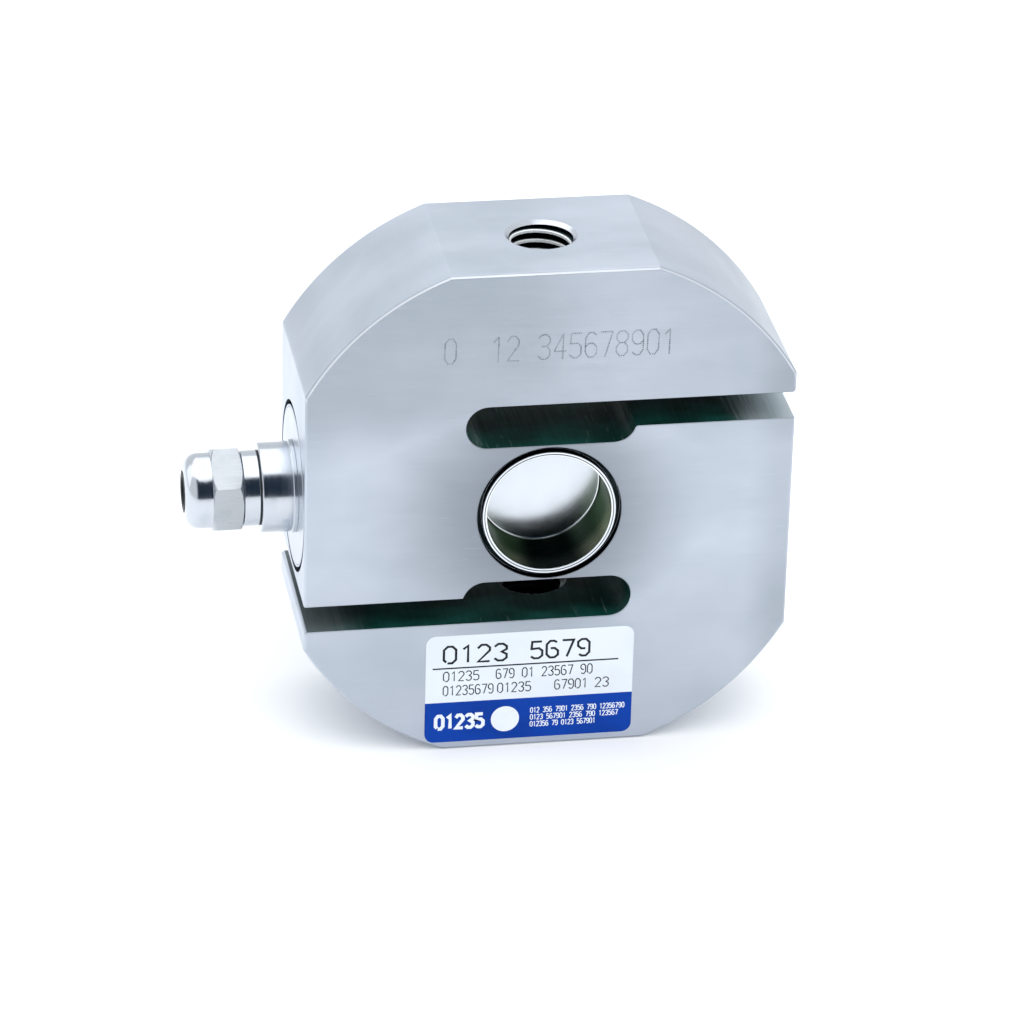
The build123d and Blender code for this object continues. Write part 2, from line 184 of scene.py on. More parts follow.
def groundSteel():
    # satin ground stainless steel: cloudy patches, short streaks, faint scuffs, and painted shade on the
    # front face, darkest in a ring round the bore and its weld
    tree, shader = startLook("groundSteel")
    cloud = span(tree, noise(tree, (0.030, 0.05, 0.036), 3.0, 0.5, (0, 0.5, 0)), 0.34, 0.66)
    veil = span(tree, noise(tree, (0.11, 0.11, 0.20), 4.0, 0.55, (0, 0.35, 0)), 0.30, 0.72)
    streak = noise(tree, (0.10, 3.2, 3.2), 4.0, 0.62)
    scuff = span(tree, noise(tree, (0.25, 0.9, 2.6), 2.0, 0.5, (0, 1.05, 0)), 0.66, 0.84)
    base = blendTones(tree, cloud, (0.515, 0.566, 0.640), (0.630, 0.676, 0.758))
    base = blendTones(tree, times(tree, veil, 0.30), base, (0.576, 0.626, 0.704))
    x, y, z = ownAxes(tree)
    # painted shade on the front face: darker round the bore, towards the top and the bottom, and at the right
    # edge
    apart = addNode(tree, "ShaderNodeVectorMath", operation="LENGTH")
    tree.links.new(ownPlace(tree, (1, 0, 1)), apart.inputs[0])
    boreShadeRamp = plus(tree, apart.outputs["Value"], times(tree, x, 0.14))
    boreShade = span(tree, boreShadeRamp, 8.0, 33.0, 0.98, 0.12)
    toRight = span(tree, x, -6.0, 12.0, 1.0, 0.72)
    topShade = times(tree, span(tree, z, 4.0, 22.0, 0.0, 0.56), toRight)
    baseShade = span(tree, z, -20.0, -4.0, 0.28, 0.12)
    rightEdgeShade = span(tree, x, 33.0, 40.0, 0.0, 0.25)
    shade = larger(tree, larger(tree, boreShade, topShade), baseShade)
    shade = plus(tree, shade, rightEdgeShade)
    shade = times(tree, shade, span(tree, y, 0.05 - halfThickness, 0.65 - halfThickness, 1.0, 0.0))
    base = blendTones(tree, shade, base, (0.258, 0.285, 0.325))
    base = blendTones(tree, times(tree, scuff, 0.14), base, (0.80, 0.85, 0.92))
    # painted shade: the turned rim darkens towards its ends
    rimEndShade = plus(tree, span(tree, x, 20.0, 36.0, 0.0, 0.34), span(tree, x, -41.0, -34.0, 0.34, 0.0))
    rimEndShade = times(tree, rimEndShade, span(tree, y, 0.05 - halfThickness, 0.65 - halfThickness))
    rimEndShade = times(tree, rimEndShade, span(tree, z, 23.4, 24.4))
    base = blendTones(tree, rimEndShade, base, (0.28, 0.31, 0.35))
    # painted highlight along the broken edge round the upper half
    under = minus(tree, halfThickness, reckon(tree, "ABSOLUTE", y))
    edge = times(tree, span(tree, under, 0.01, 0.07), span(tree, under, 0.25, 0.35, 1.0, 0.0))
    edge = times(tree, edge, span(tree, z, 22.0, 25.0))
    base = blendTones(tree, edge, base, (0.78, 0.82, 0.88))
    gloss = plus(tree, span(tree, streak, 0.3, 0.7, 0.30, 0.40), times(tree, veil, 0.05))
    finishLook(tree, shader, base, gloss, streak, 0.0025, metallic=1.0)


def slotSteel():
    # walls of the slots: dark with painted shade, with cutter marks, lightened towards the open end as
    # painted light and more metallic there
    tree, shader = startLook("slotSteel")
    x, y, z = ownAxes(tree)
    reach = reckon(tree, "ABSOLUTE", x)
    marks = noise(tree, (2.6, 0.08, 2.6), 3.0, 0.6)
    ragged = plus(tree, reach, times(tree, marks, 7.0))
    openEndLight = span(tree, ragged, 33.0, 44.0)
    cloud = span(tree, noise(tree, (0.10, 0.16, 0.10), 3.0, 0.5), 0.35, 0.68)
    # painted shade: the slot walls are near black
    base = blendTones(tree, cloud, (0.000, 0.018, 0.015), (0.004, 0.050, 0.042))
    beside = times(tree, span(tree, reach, 4.5, 6.5), span(tree, reach, 11.0, 16.0, 1.0, 0.0))
    cutter = span(tree, noise(tree, (1.1, 0.10, 1.1), 4.0, 0.65, (0, 0, 0.25)), 0.58, 0.76)
    base = blendTones(tree, times(tree, times(tree, cutter, beside), 0.55), base, (0.20, 0.27, 0.26))
    # painted light towards the open end, brighter at the right end than at the left
    openEndLightTone = blendTones(tree, span(tree, x, -1.0, 1.0), (0.24, 0.27, 0.29), (0.50, 0.56, 0.59))
    openEndLight = times(tree, openEndLight, span(tree, x, -1.0, 1.0, 0.6, 1.0))
    base = blendTones(tree, openEndLight, base, openEndLightTone)
    metalShare = span(tree, openEndLight, 0.0, 1.0, 0.0, 0.8)
    gloss = span(tree, marks, 0.3, 0.7, 0.34, 0.56)
    finishLook(tree, shader, base, gloss, marks, 0.010, metallic=metalShare, Specular_IOR_Level=0.05)


def threadSteel():
    # bright crests as painted highlight, valleys dark as painted shade
    tree, shader = startLook("threadSteel")
    x, y, z = ownAxes(tree)
    square = plus(tree, times(tree, x, x), times(tree, y, y))
    radius = reckon(tree, "POWER", square, 0.5)
    depth = minus(tree, halfHeight, reckon(tree, "ABSOLUTE", z))
    pastCone = span(tree, depth, loadThread["coneDepth"] + 0.02, loadThread["coneDepth"] + 0.08)
    valleyShade = times(tree, span(tree, radius, 5.14, 5.40), pastCone)
    fine = noise(tree, (0.4, 0.4, 3.0), 3.0)
    crest = blendTones(tree, fine, (0.80, 0.85, 0.87), (0.88, 0.91, 0.93))
    crest = blendTones(tree, pastCone, (0.60, 0.63, 0.68), crest)
    # painted shade: the crests darken further down the hole
    crest = blendTones(tree, span(tree, depth, 6.0, 12.0), crest, (0.010, 0.016, 0.024))
    tone = blendTones(tree, valleyShade, crest, (0.010, 0.020, 0.024))
    gloss = span(tree, fine, 0.3, 0.7, 0.22, 0.36)
    metalShare = larger(tree, valleyShade, minus(tree, 1.0, times(tree, pastCone, 0.7)))
    finishLook(tree, shader, tone, gloss, fine, 0.0012, metallic=metalShare)


def cupWallSteel():
    # wall of the cups: dark down at the floor as painted shade, lighter olive near the rim as painted light
    tree, shader = startLook("cupWallSteel")
    x, y, z = ownAxes(tree)
    cloud = span(tree, noise(tree, (0.10, 0.05, 0.10), 2.0), 0.35, 0.65)
    deepShade = blendTones(tree, cloud, (0.036, 0.054, 0.042), (0.070, 0.092, 0.072))
    mouth = blendTones(tree, cloud, (0.22, 0.23, 0.165), (0.30, 0.305, 0.22))
    rimLightShare = span(tree, reckon(tree, "ABSOLUTE", y), 9.5, 14.6)
    drawn = noise(tree, (0.3, 1.4, 0.3), 3.0)
    gloss = span(tree, drawn, 0.3, 0.7, 0.20, 0.27)
    finishLook(tree, shader, blendTones(tree, rimLightShare, deepShade, mouth), gloss, drawn, 0.0004,
               metallic=1.0, Specular_Tint=(0.42, 0.47, 0.40, 1))


def turnedNickel():
    # bright nickel over turned brass: rings round the gland's axis, a few dull patches
    tree, shader = startLook("turnedNickel")
    rings = noise(tree, (5.0, 0.05, 0.05), 3.0, 0.6)
    dull = span(tree, noise(tree, (0.3, 0.22, 0.22), 3.0), 0.52, 0.74)
    tone = blendTones(tree, dull, (0.575, 0.61, 0.66), (0.52, 0.56, 0.61))
    gloss = plus(tree, span(tree, rings, 0.3, 0.7, 0.13, 0.20), times(tree, dull, 0.06))
    finishLook(tree, shader, tone, gloss, rings, 0.0025, metallic=1.0)


def hexNickel():
    # the cap: drawn lines along the flats, softened by the plating
    tree, shader = startLook("hexNickel")
    drawn = noise(tree, (0.25, 2.2, 2.2), 3.0, 0.6)
    dull = span(tree, noise(tree, (0.3, 0.25, 0.25), 3.0), 0.50, 0.75)
    tone = blendTones(tree, dull, (0.415, 0.44, 0.47), (0.385, 0.41, 0.44))
    gloss = span(tree, drawn, 0.3, 0.7, 0.16, 0.28)
    finishLook(tree, shader, tone, gloss, drawn, 0.004, metallic=1.0)


def coverSteel():
    # turned face of the side cover: rings round the gland's centre line
    tree, shader = startLook("coverSteel")
    rings = addNode(tree, "ShaderNodeTexWave", wave_type="RINGS", rings_direction="X")
    rings.inputs["Scale"].default_value = 1.1
    rings.inputs["Distortion"].default_value = 0.6
    rings.inputs["Detail"].default_value = 2.0
    tree.links.new(ownPlace(tree), rings.inputs["Vector"])
    cloud = span(tree, noise(tree, (0.08, 0.10, 0.10)), 0.35, 0.66)
    tone = blendTones(tree, cloud, (0.53, 0.57, 0.63), (0.61, 0.65, 0.71))
    gloss = span(tree, rings.outputs["Fac"], 0.0, 1.0, 0.22, 0.32)
    finishLook(tree, shader, tone, gloss, rings.outputs["Fac"], 0.003, metallic=1.0)


def gaugeFilm():
    # amber film with the fine lines of the foil grid
    tree, shader = startLook("gaugeFilm")
    lines = addNode(tree, "ShaderNodeTexWave", wave_type="BANDS", bands_direction="Y")
    lines.inputs["Scale"].default_value = 1.1
    lines.inputs["Distortion"].default_value = 0.0
    tree.links.new(ownPlace(tree), lines.inputs["Vector"])
    foil = span(tree, lines.outputs["Fac"], 0.45, 0.55)
    film = blendTones(tree, noise(tree, (0.6, 0.6, 0.6)), (0.52, 0.26, 0.05), (0.68, 0.38, 0.10))
    tone = blendTones(tree, times(tree, foil, 0.8), film, (0.62, 0.60, 0.55))
    finishLook(tree, shader, tone, span(tree, foil, 0.0, 1.0, 0.34, 0.22), foil, 0.005)


def makeLooks():
    groundSteel()
    slotSteel()
    threadSteel()
    turnedNickel()
    hexNickel()
    coverSteel()
    gaugeFilm()
    # painted shade: the relief grooves round the bore are near black
    surface("shadedGrooveSteel", ((0.006, 0.010, 0.012), (0.020, 0.028, 0.030)), (0.35, 0.55),
            (0.2, 0.2, 0.2), (1.2, 3.0, 1.2), 0.01, metallic=1.0)
    # painted shade: the side groove is darker than the steel round it
    surface("shadedSideGrooveSteel", ((0.10, 0.12, 0.14), (0.20, 0.23, 0.26)), (0.35, 0.50),
            (0.2, 0.2, 0.2), (3.0, 1.2, 1.2), 0.01, metallic=1.0)
    surface("cupSteel", ((0.76, 0.80, 0.84), (0.84, 0.87, 0.90)), (0.15, 0.19),
            (0.06, 0.06, 0.06), (0.2, 0.8, 0.2), 0.0004, metallic=1.0)
    # painted shade: the cup floor is a darker copy of the rim's steel
    surface("shadedCupFloorSteel", ((0.64, 0.68, 0.73), (0.70, 0.74, 0.79)), (0.16, 0.20),
            (0.06, 0.06, 0.06), (0.2, 0.8, 0.2), 0.0004, metallic=1.0)
    cupWallSteel()
    surface("peenedSteel", ((0.20, 0.23, 0.27), (0.34, 0.38, 0.43)), (0.35, 0.55),
            (0.5, 0.5, 0.5), (6.0, 6.0, 6.0), 0.01, metallic=1.0)
    surface("screwSteel", ((0.52, 0.54, 0.56), (0.68, 0.69, 0.70)), (0.25, 0.40),
            (0.4, 0.4, 0.4), (3.0, 3.0, 3.0), 0.006, metallic=1.0)
    surface("blackRubber", ((0.010, 0.011, 0.013), (0.024, 0.025, 0.028)), (0.50, 0.72),
            (0.5, 0.5, 0.5), (5.0, 5.0, 5.0), 0.02)
    surface("cageNylon", ((0.74, 0.74, 0.70), (0.83, 0.83, 0.80)), (0.38, 0.55),
            (0.3, 0.3, 0.3), (2.5, 2.5, 2.5), 0.01, Subsurface_Weight=0.1)
    surface("boardLaminate", ((0.016, 0.13, 0.045), (0.030, 0.20, 0.075)), (0.28, 0.42),
            (0.5, 0.5, 0.5), (6.0, 6.0, 6.0), 0.01, Coat_Weight=0.3)
    surface("terminalCopper", ((0.60, 0.33, 0.20), (0.78, 0.62, 0.50)), (0.22, 0.40),
            (0.7, 0.7, 0.7), (4.0, 4.0, 4.0), 0.008, metallic=1.0)
    surface("resistorCoat", ((0.04, 0.13, 0.32), (0.07, 0.20, 0.42)), (0.18, 0.32),
            (0.6, 0.6, 0.6), (3.0, 3.0, 3.0), 0.01, Coat_Weight=0.4)
    for name, dark, light in (
        ("redWire", (0.42, 0.02, 0.02), (0.60, 0.05, 0.04)),
        ("greenWire", (0.02, 0.24, 0.07), (0.05, 0.38, 0.12)),
        ("blackWire", (0.010, 0.010, 0.010), (0.035, 0.035, 0.035)),
        ("whiteWire", (0.72, 0.72, 0.68), (0.86, 0.86, 0.83)),
    ):
        surface(name, (dark, light), (0.28, 0.42), (0.4, 0.4, 0.4), (3.0, 3.0, 3.0), 0.006)
    surface("labelWhite", ((0.66, 0.71, 0.765), (0.71, 0.76, 0.82)), (0.42, 0.52),
            (0.05, 0.05, 0.08), (1.2, 1.2, 1.2), 0.0015, Specular_IOR_Level=0.3)
    surface("labelBlue", ((0.000, 0.034, 0.270), (0.001, 0.044, 0.330)), (0.46, 0.56),
            (0.08, 0.08, 0.12), (1.2, 1.2, 1.2), 0.0008, Specular_IOR_Level=0.12)
    surface("labelInk", ((0.006, 0.008, 0.011), (0.015, 0.018, 0.022)), (0.34, 0.46),
            (0.4, 0.4, 0.4), (1.2, 1.2, 1.2), 0.001, Specular_IOR_Level=0.2)
    surface("labelPale", ((0.70, 0.75, 0.81), (0.75, 0.80, 0.86)), (0.42, 0.52),
            (0.2, 0.2, 0.2), (1.2, 1.2, 1.2), 0.001, Specular_IOR_Level=0.3)
    print("looks:", len(looks))


# Meshes made face by face

class Skin:
    # faces that keep a normal for each corner and share the corners that meet

    def __init__(self):
        self.places = []
        self.found = {}
        self.faces = []
        self.normals = []
        self.slots = []

    def corner(self, place):
        key = tuple(round(value, 4) for value in place)
        if key not in self.found:
            self.found[key] = len(self.places)
            self.places.append(place)
        return self.found[key]

    def add(self, places, normals, slot=0):
        kept = []
        for place, normal in zip(places, normals):
            index = self.corner(place)
            if index not in [k[0] for k in kept]:
                kept.append((index, normal))
        if len(kept) < 3:
            return
        corners = [self.places[k[0]] for k in kept]
        facing = Vector()
        for here, there in zip(corners, corners[1:] + corners[:1]):
            facing += here.cross(there)
        if facing.dot(sum((k[1] for k in kept), Vector())) < 0:
            kept.reverse()
        self.faces.append([k[0] for k in kept])
        self.normals += [k[1] for k in kept]
        self.slots.append(slot)

    def flat(self, loops, normal, slot=0):
        # flat face with holes; the first loop is its outline
        places = [place for loop in loops for place in loop]
        for triangle in tessellate_polygon(loops):
            self.add([places[index] for index in triangle], [normal] * 3, slot)

    def strip(self, first, second, slot=0, closed=True):
        # band between two rows of (place, normal)
        count = len(first)
        for index in range(count if closed else count - 1):
            after = (index + 1) % count
            four = (first[index], first[after], second[after], second[index])
            self.add([f[0] for f in four], [f[1] for f in four], slot)

    def turn(self, path, centre, axis, across, steps=96):
        # solid of revolution from a rounded path; returns its first and last ring
        axis = Vector(axis)
        across = Vector(across)
        third = axis.cross(across)
        rings = []
        for s, r, ns, nr, slot in path:
            ring = []
            for step in range(steps):
                spoke = across * cos(2 * pi * step / steps) + third * sin(2 * pi * step / steps)
                ring.append((Vector(centre) + axis * s + spoke * r, (axis * ns + spoke * nr).normalized()))
            rings.append((ring, slot))
        for (ring, slot), (after, nextSlot) in zip(rings, rings[1:]):
            self.strip(ring, after, slot)
        return [place for place, normal in rings[0][0]], [place for place, normal in rings[-1][0]]

    def finish(self, name, materials):
        mesh = bpy.data.meshes.new(name)
        mesh.from_pydata([toFrame(place) for place in self.places], [], self.faces)
        for material in materials:
            mesh.materials.append(looks[material])
        mesh.polygons.foreach_set("material_index", self.slots)
        mesh.polygons.foreach_set("use_smooth", [True] * len(self.faces))
        mesh.normals_split_custom_set(self.normals)
        mesh.update()
        return addPiece(name, mesh)


def addPiece(name, mesh):
    piece = bpy.data.objects.new(name, mesh)
    bpy.context.scene.collection.objects.link(piece)
    return piece


def settle(piece, node):
    # the piece stands in for a frame node and goes where the body goes
    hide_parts(node)
    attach(piece, "root")
    print(node + ":", len(piece.data.polygons), "faces")


def place2(first, second):
    return Vector((first, second))


def left(direction):
    return Vector((-direction.y, direction.x))


def roundCorner(corner, before, after, radius, steps):
    # arc that takes a corner off, as (place, direction of travel)
    turnAngle = before.angle(after)
    side = 1 if before.cross(after) > 0 else -1
    start = corner - before * radius * tan(turnAngle / 2)
    centre = start + left(before) * side * radius
    result = []
    for step in range(steps + 1):
        spin = Matrix.Rotation(side * turnAngle * step / steps, 2)
        direction = spin @ before
        result.append((centre - left(direction) * side * radius, direction))
    return result


def roundedPath(corners, side, closed=False, steps=4):
    # corners are (along, out, edge radius, slot of the run that leaves it)
    count = len(corners)
    places = [place2(corner[0], corner[1]) for corner in corners]
    path = []
    for index, (along, out, radius, slot) in enumerate(corners):
        here = places[index]
        first = index == 0 and not closed
        last = index == count - 1 and not closed
        before = None if first else (here - places[index - 1]).normalized()
        after = None if last else (places[(index + 1) % count] - here).normalized()
        if first or last:
            normal = left(after if first else before) * side
            path.append((here.x, here.y, normal.x, normal.y, slot))
            continue
        if radius == 0:
            for direction in (before, after):
                normal = left(direction) * side
                path.append((here.x, here.y, normal.x, normal.y, slot))
            continue
        arc = roundCorner(here, before, after, radius, steps)
        for position, (spot, direction) in enumerate(arc):
            normal = left(direction) * side
            path.append((spot.x, spot.y, normal.x, normal.y, slot if position == steps else 0))
    if closed:
        path.append(path[0])
    return path


# Spring body

springBody = {
    "discRadius": 47.8,
    "boreRadius": 11.0,
    "web": 1.65,
    "pocketLength": 28.9,
    "pocketHeight": 7.6,
    "slotHeight": 4.75,
    "jawRadius": 0.6,
    "outerEdge": 0.50,
    "sideEdge": 0.40,
    "slotEdge": 0.13,
    "cornerRound": 0.35,
    "slotCornerRound": 0.2,
    "shoulderRound": 0.5,
    "cornerSteps": 5,
    "edgeShares": ((0.0, 0), (0.06, 45), (0.94, 45), (1.0, 90)),
    "arcSteps": 56,
    "slotArcSteps": 20,
    "boreSteps": 128,
    "sideSteps": 120,
    "threadSteps": 72,
    "screwSteps": 24,
    "jawSteps": 6,
    "boreBand": 4.0,
    "mouthSteps": 6,
    "lip": 0.4,
    "boreGrooveWidth": 0.9,
    "boreGrooveDepth": 1.5,
    "threadRadius": 6.0,
    "countersink": 0.08,
    "sideLand": 0.55,
    "sideGrooveWidth": 0.85,
    "sideGrooveDepth": 1.2,
    "coverThickness": 1.2,
    "coverLedge": 1.4,
    "chamberDepth": 8.0,
    "boardLedge": 3.5,
    "wellDepth": 4.2,
    "passageRadius": 1.6,
    "passageLead": 1.0,
    "screwHoleRadius": 1.0,
    "screwHoleDepth": 3.0,
    "screwCircle": 10.15,
    "smallEdge": 0.05,
    "lipEdge": 0.09,
}


def bodyStrokes(b):
    # half of the front outline, with the steel on the left hand; the other half is its half turn
    near = b["boreRadius"] + b["web"]
    far = near + b["pocketHeight"]
    endRadius = b["pocketHeight"] / 2
    endX = b["pocketLength"] / 2 - endRadius
    endZ = near + endRadius
    floorZ = far - b["slotHeight"]
    stepAngle = asin((floorZ - endZ) / endRadius)
    jaw = b["jawRadius"]
    disc = b["discRadius"]
    sideAngle = acos(halfWidth / disc)
    topAngle = asin(halfHeight / disc)
    sideZ = disc * sin(sideAngle)
    topX = disc * cos(topAngle)
    outer, inner, side = b["outerEdge"], b["slotEdge"], b["sideEdge"]

    def line(start, end, edge, slot, holes=(), endRound=None):
        direction = (place2(*end) - place2(*start)).normalized()
        spots = [(place2(*start), direction, edge), (place2(*end), direction, edge)]
        return {"spots": spots, "slot": slot, "holes": holes, "endRound": endRound}

    def arc(centre, radius, start, end, steps, edges, slot):
        spots = []
        way = 1 if end > start else -1
        for step in range(steps + 1):
            share = step / steps
            angle = start + (end - start) * share
            spoke = Vector((cos(angle), sin(angle)))
            edge = edges[0] + (edges[1] - edges[0]) * share
            spots.append((place2(*centre) + spoke * radius, left(spoke) * way, edge))
        return {"spots": spots, "slot": slot, "holes": (), "endRound": None}

    shoulder = (endX + endRadius * cos(stepAngle), floorZ)
    quarter = pi / 2
    short = b["slotArcSteps"]
    return [
        line((halfWidth, floorZ), shoulder, inner, 1, endRound=b["shoulderRound"]),
        arc((endX, endZ), endRadius, stepAngle, -quarter, short // 2, (inner, inner), 1),
        line((endX, near), (-endX, near), inner, 1),
        arc((-endX, endZ), endRadius, -quarter, -3 * quarter, short, (inner, inner), 1),
        line((-endX, far), (halfWidth - jaw, far), inner, 1, ("threadEnd",)),
        arc((halfWidth - jaw, far + jaw), jaw, -quarter, 0, b["jawSteps"], (inner, outer), 0),
        line((halfWidth, far + jaw), (halfWidth, sideZ), outer, 0),
        arc((0, 0), disc, sideAngle, topAngle, b["arcSteps"], (outer, outer), 0),
        line((topX, halfHeight), (-topX, halfHeight), outer, 0, ("threadMouth",)),
        arc((0, 0), disc, pi - topAngle, pi - sideAngle, b["arcSteps"], (outer, outer), 0),
        line((-halfWidth, sideZ), (-halfWidth, -floorZ), side, 0, ("sideChamber",)),
    ]


def halfTurned(stroke):
    spots = [(-place, -direction, edge) for place, direction, edge in stroke["spots"]]
    holes = tuple(hole + "Below" for hole in stroke["holes"] if hole != "sideChamber")
    return {"spots": spots, "slot": stroke["slot"], "holes": holes, "endRound": stroke["endRound"]}


def insetCorner(corner, before, after, edgeBefore, edgeAfter):
    # where two lines meet that lie edgeBefore and edgeAfter inside the corner
    first, second = left(before), left(after)
    spread = first.cross(second)
    x = (edgeBefore * second.y - edgeAfter * first.y) / spread
    y = (edgeAfter * first.x - edgeBefore * second.x) / spread
    return corner + Vector((x, y))


def bodyOutline(b):
    # points round the body as (place, outward normal, inset place, edge width), and the walls between them
    strokes = bodyStrokes(b)
    strokes += [halfTurned(stroke) for stroke in strokes]
    points = []
    walls = []
    joints = []
    for stroke, following in zip(strokes, strokes[1:] + strokes[:1]):
        end, before, edgeBefore = stroke["spots"][-1]
        start, after, edgeAfter = following["spots"][0]
        sharp = before.angle(after) > radians(2)
        joints.append((sharp, end, before, after, edgeBefore, edgeAfter))
    for index, stroke in enumerate(strokes):
        afterCorner = 1 if joints[index - 1][0] else 0
        first = len(points) - afterCorner
        for place, direction, edge in stroke["spots"][afterCorner:-1]:
            inward = left(direction)
            points.append((place, -inward, place + inward * edge, edge))
        sharp, corner, before, after, edgeBefore, edgeAfter = joints[index]
        last = len(points)
        if sharp:
            inset = insetCorner(corner, before, after, edgeBefore, edgeAfter)
            narrow = min(edgeBefore, edgeAfter) <= b["slotEdge"]
            radius = stroke["endRound"] or (b["slotCornerRound"] if narrow else b["cornerRound"])
            arc = roundCorner(corner, before, after, radius, b["cornerSteps"])
            for step, (place, direction) in enumerate(arc):
                edge = edgeBefore + (edgeAfter - edgeBefore) * step / b["cornerSteps"]
                points.append((place, -left(direction), inset, edge))
        walls.append((first, last, stroke["slot"], stroke["holes"]))
    return points, walls


def makeSpringBody():
    b = springBody
    skin = Skin()
    points, walls = bodyOutline(b)
    count = len(points)

    def edgeRow(side, share, lean):
        # one row of the broken edge, from the face at share 0 to the wall at share 1
        angle = radians(lean)
        row = []
        for place, normal, inset, edge in points:
            flatPlace = place + (inset - place) * (1 - share)
            depth = halfThickness - edge * share
            spot = Vector((flatPlace.x, side * depth, flatPlace.y))
            facing = Vector((normal.x * sin(angle), side * cos(angle), normal.y * sin(angle)))
            row.append((spot, facing.normalized()))
        return row

    rows = {}
    for side in (-1, 1):
        rows[side] = [edgeRow(side, share, lean) for share, lean in b["edgeShares"]]
        for row, after in zip(rows[side], rows[side][1:]):
            skin.strip(row, after)

    holes = {}
    holes.update(makeBore(skin, b))
    holes.update(makeThreadHole(skin, b, 1, ""))
    holes.update(makeThreadHole(skin, b, -1, "Below"))
    holes.update(makeSideChamber(skin, b))

    frontWall, rearWall = rows[-1][-1], rows[1][-1]

    def wallStrip(index, slot):
        after = (index + 1) % count
        front, rear = [frontWall[index], frontWall[after]], [rearWall[index], rearWall[after]]
        skin.strip(front, rear, slot, closed=False)
        return after

    slotStart = {first % count: slot for first, last, slot, names in walls}
    slotEnd = {last % count: slot for first, last, slot, names in walls}
    for first, last, slot, names in walls:
        first, last = first % count, last % count
        if names:
            start, end = frontWall[first], frontWall[last]
            outline = [start[0], end[0], rearWall[last][0], rearWall[first][0]]
            skin.flat([outline] + [holes[name] for name in names], start[1], slot)
            continue
        index = first
        while index != last:
            index = wallStrip(index, slot)
    # the rounded corners between the walls
    for start in slotEnd:
        index = start
        steps = []
        while index not in slotStart or index in steps:
            steps.append(index)
            index = (index + 1) % count
        slot = min(slotEnd[start], slotStart[index])
        for index in steps:
            wallStrip(index, slot)

    for side, name in ((-1, "boreFront"), (1, "boreRear")):
        outline = []
        for place, normal in rows[side][0]:
            if not outline or (place - outline[-1]).length > sameSpot:
                outline.append(place)
        if (outline[0] - outline[-1]).length < sameSpot:
            outline.pop()
        skin.flat([outline, holes[name]], Vector((0, side, 0)))
    looksUsed = ["groundSteel", "slotSteel", "shadedGrooveSteel", "shadedSideGrooveSteel", "cupSteel"]
    settle(skin.finish("spring_body_skin", looksUsed), "spring_body")


def makeBore(skin, b):
    # relief grooves, weld lips and the bore wall, with the wire passage in its left side
    radius = b["boreRadius"]
    grooveIn = radius + b["lip"]
    grooveOut = grooveIn + b["boreGrooveWidth"]
    face = halfThickness
    floor = face - b["boreGrooveDepth"]
    small, lipEdge = b["smallEdge"], b["lipEdge"]
    band, steps, mouthSteps = b["boreBand"], b["boreSteps"], b["mouthSteps"]
    holes = {}
    inner = {}
    for side, name in ((-1, "boreFront"), (1, "boreRear")):
        path = roundedPath([
            (-face, grooveOut + 2 * small, 0, 0),
            (-face, grooveOut, small, 2),
            (-floor, grooveOut, small, 2),
            (-floor, grooveIn, small, 2),
            (-face, grooveIn, lipEdge, 4),
            (-face, radius, lipEdge, 0),
            (-band, radius, 0, 0),
        ], 1)
        first, last = skin.turn(path, (0, 0, 0), (0, -side, 0), (-1, 0, 0), steps)
        holes[name] = first
        inner[side] = last
    passage = passageMouth(b)
    spots = []
    for step in range(steps):
        angle = 2 * pi * step / steps
        outward = Vector((-cos(angle), 0, sin(angle)))
        spots.append([(outward * radius + Vector((0, y, 0)), -outward) for y in (-band, band)])
    for step in range(mouthSteps, steps - mouthSteps):
        after = (step + 1) % steps
        skin.strip([spots[step][0], spots[after][0]], [spots[step][1], spots[after][1]], closed=False)
    arcs = range(-mouthSteps, mouthSteps + 1)
    unrolled = [Vector((radius * 2 * pi * step / steps, -band, 0)) for step in arcs]
    unrolled += [Vector((radius * 2 * pi * step / steps, band, 0)) for step in reversed(arcs)]
    hole = [Vector((radius * asin(place.z / radius), place.y, 0)) for place in passage]
    flatPlaces = unrolled + hole
    for triangle in tessellate_polygon([unrolled, hole]):
        places, normals = [], []
        for index in triangle:
            angle = flatPlaces[index].x / radius
            outward = Vector((-cos(angle), 0, sin(angle)))
            places.append(outward * radius + Vector((0, flatPlaces[index].y, 0)))
            normals.append(-outward)
        skin.add(places, normals)
    return holes


def passageMouth(b):
    # ring where the wire passage opens into the bore
    places = []
    for step in range(b["sideSteps"]):
        angle = 2 * pi * step / b["sideSteps"]
        y = b["passageRadius"] * cos(angle)
        z = b["passageRadius"] * sin(angle)
        places.append(Vector((-sqrt(b["boreRadius"] ** 2 - z ** 2), y, z)))
    return places


def threadLength():
    # from the flat to the slot
    return halfHeight - springBody["boreRadius"] - springBody["web"] - springBody["pocketHeight"]


def makeThreadHole(skin, b, way, ending):
    # load thread from the flat into the slot, way 1 for the top and -1 for the bottom
    radius = b["threadRadius"]
    sink = b["countersink"]
    depth = threadLength()
    small = b["smallEdge"] / 2
    path = roundedPath([
        (0, radius + sink + 3 * small, 0, 0),
        (0, radius + sink, small, 0),
        (sink, radius, small, 2),
        (depth, radius, small, 1),
        (depth, radius + 3 * small, 0, 1),
    ], -1)
    mouth, end = skin.turn(path, (0, 0, way * halfHeight), (0, 0, -way), (1, 0, 0), b["threadSteps"])
    return {"threadMouth" + ending: mouth, "threadEnd" + ending: end}


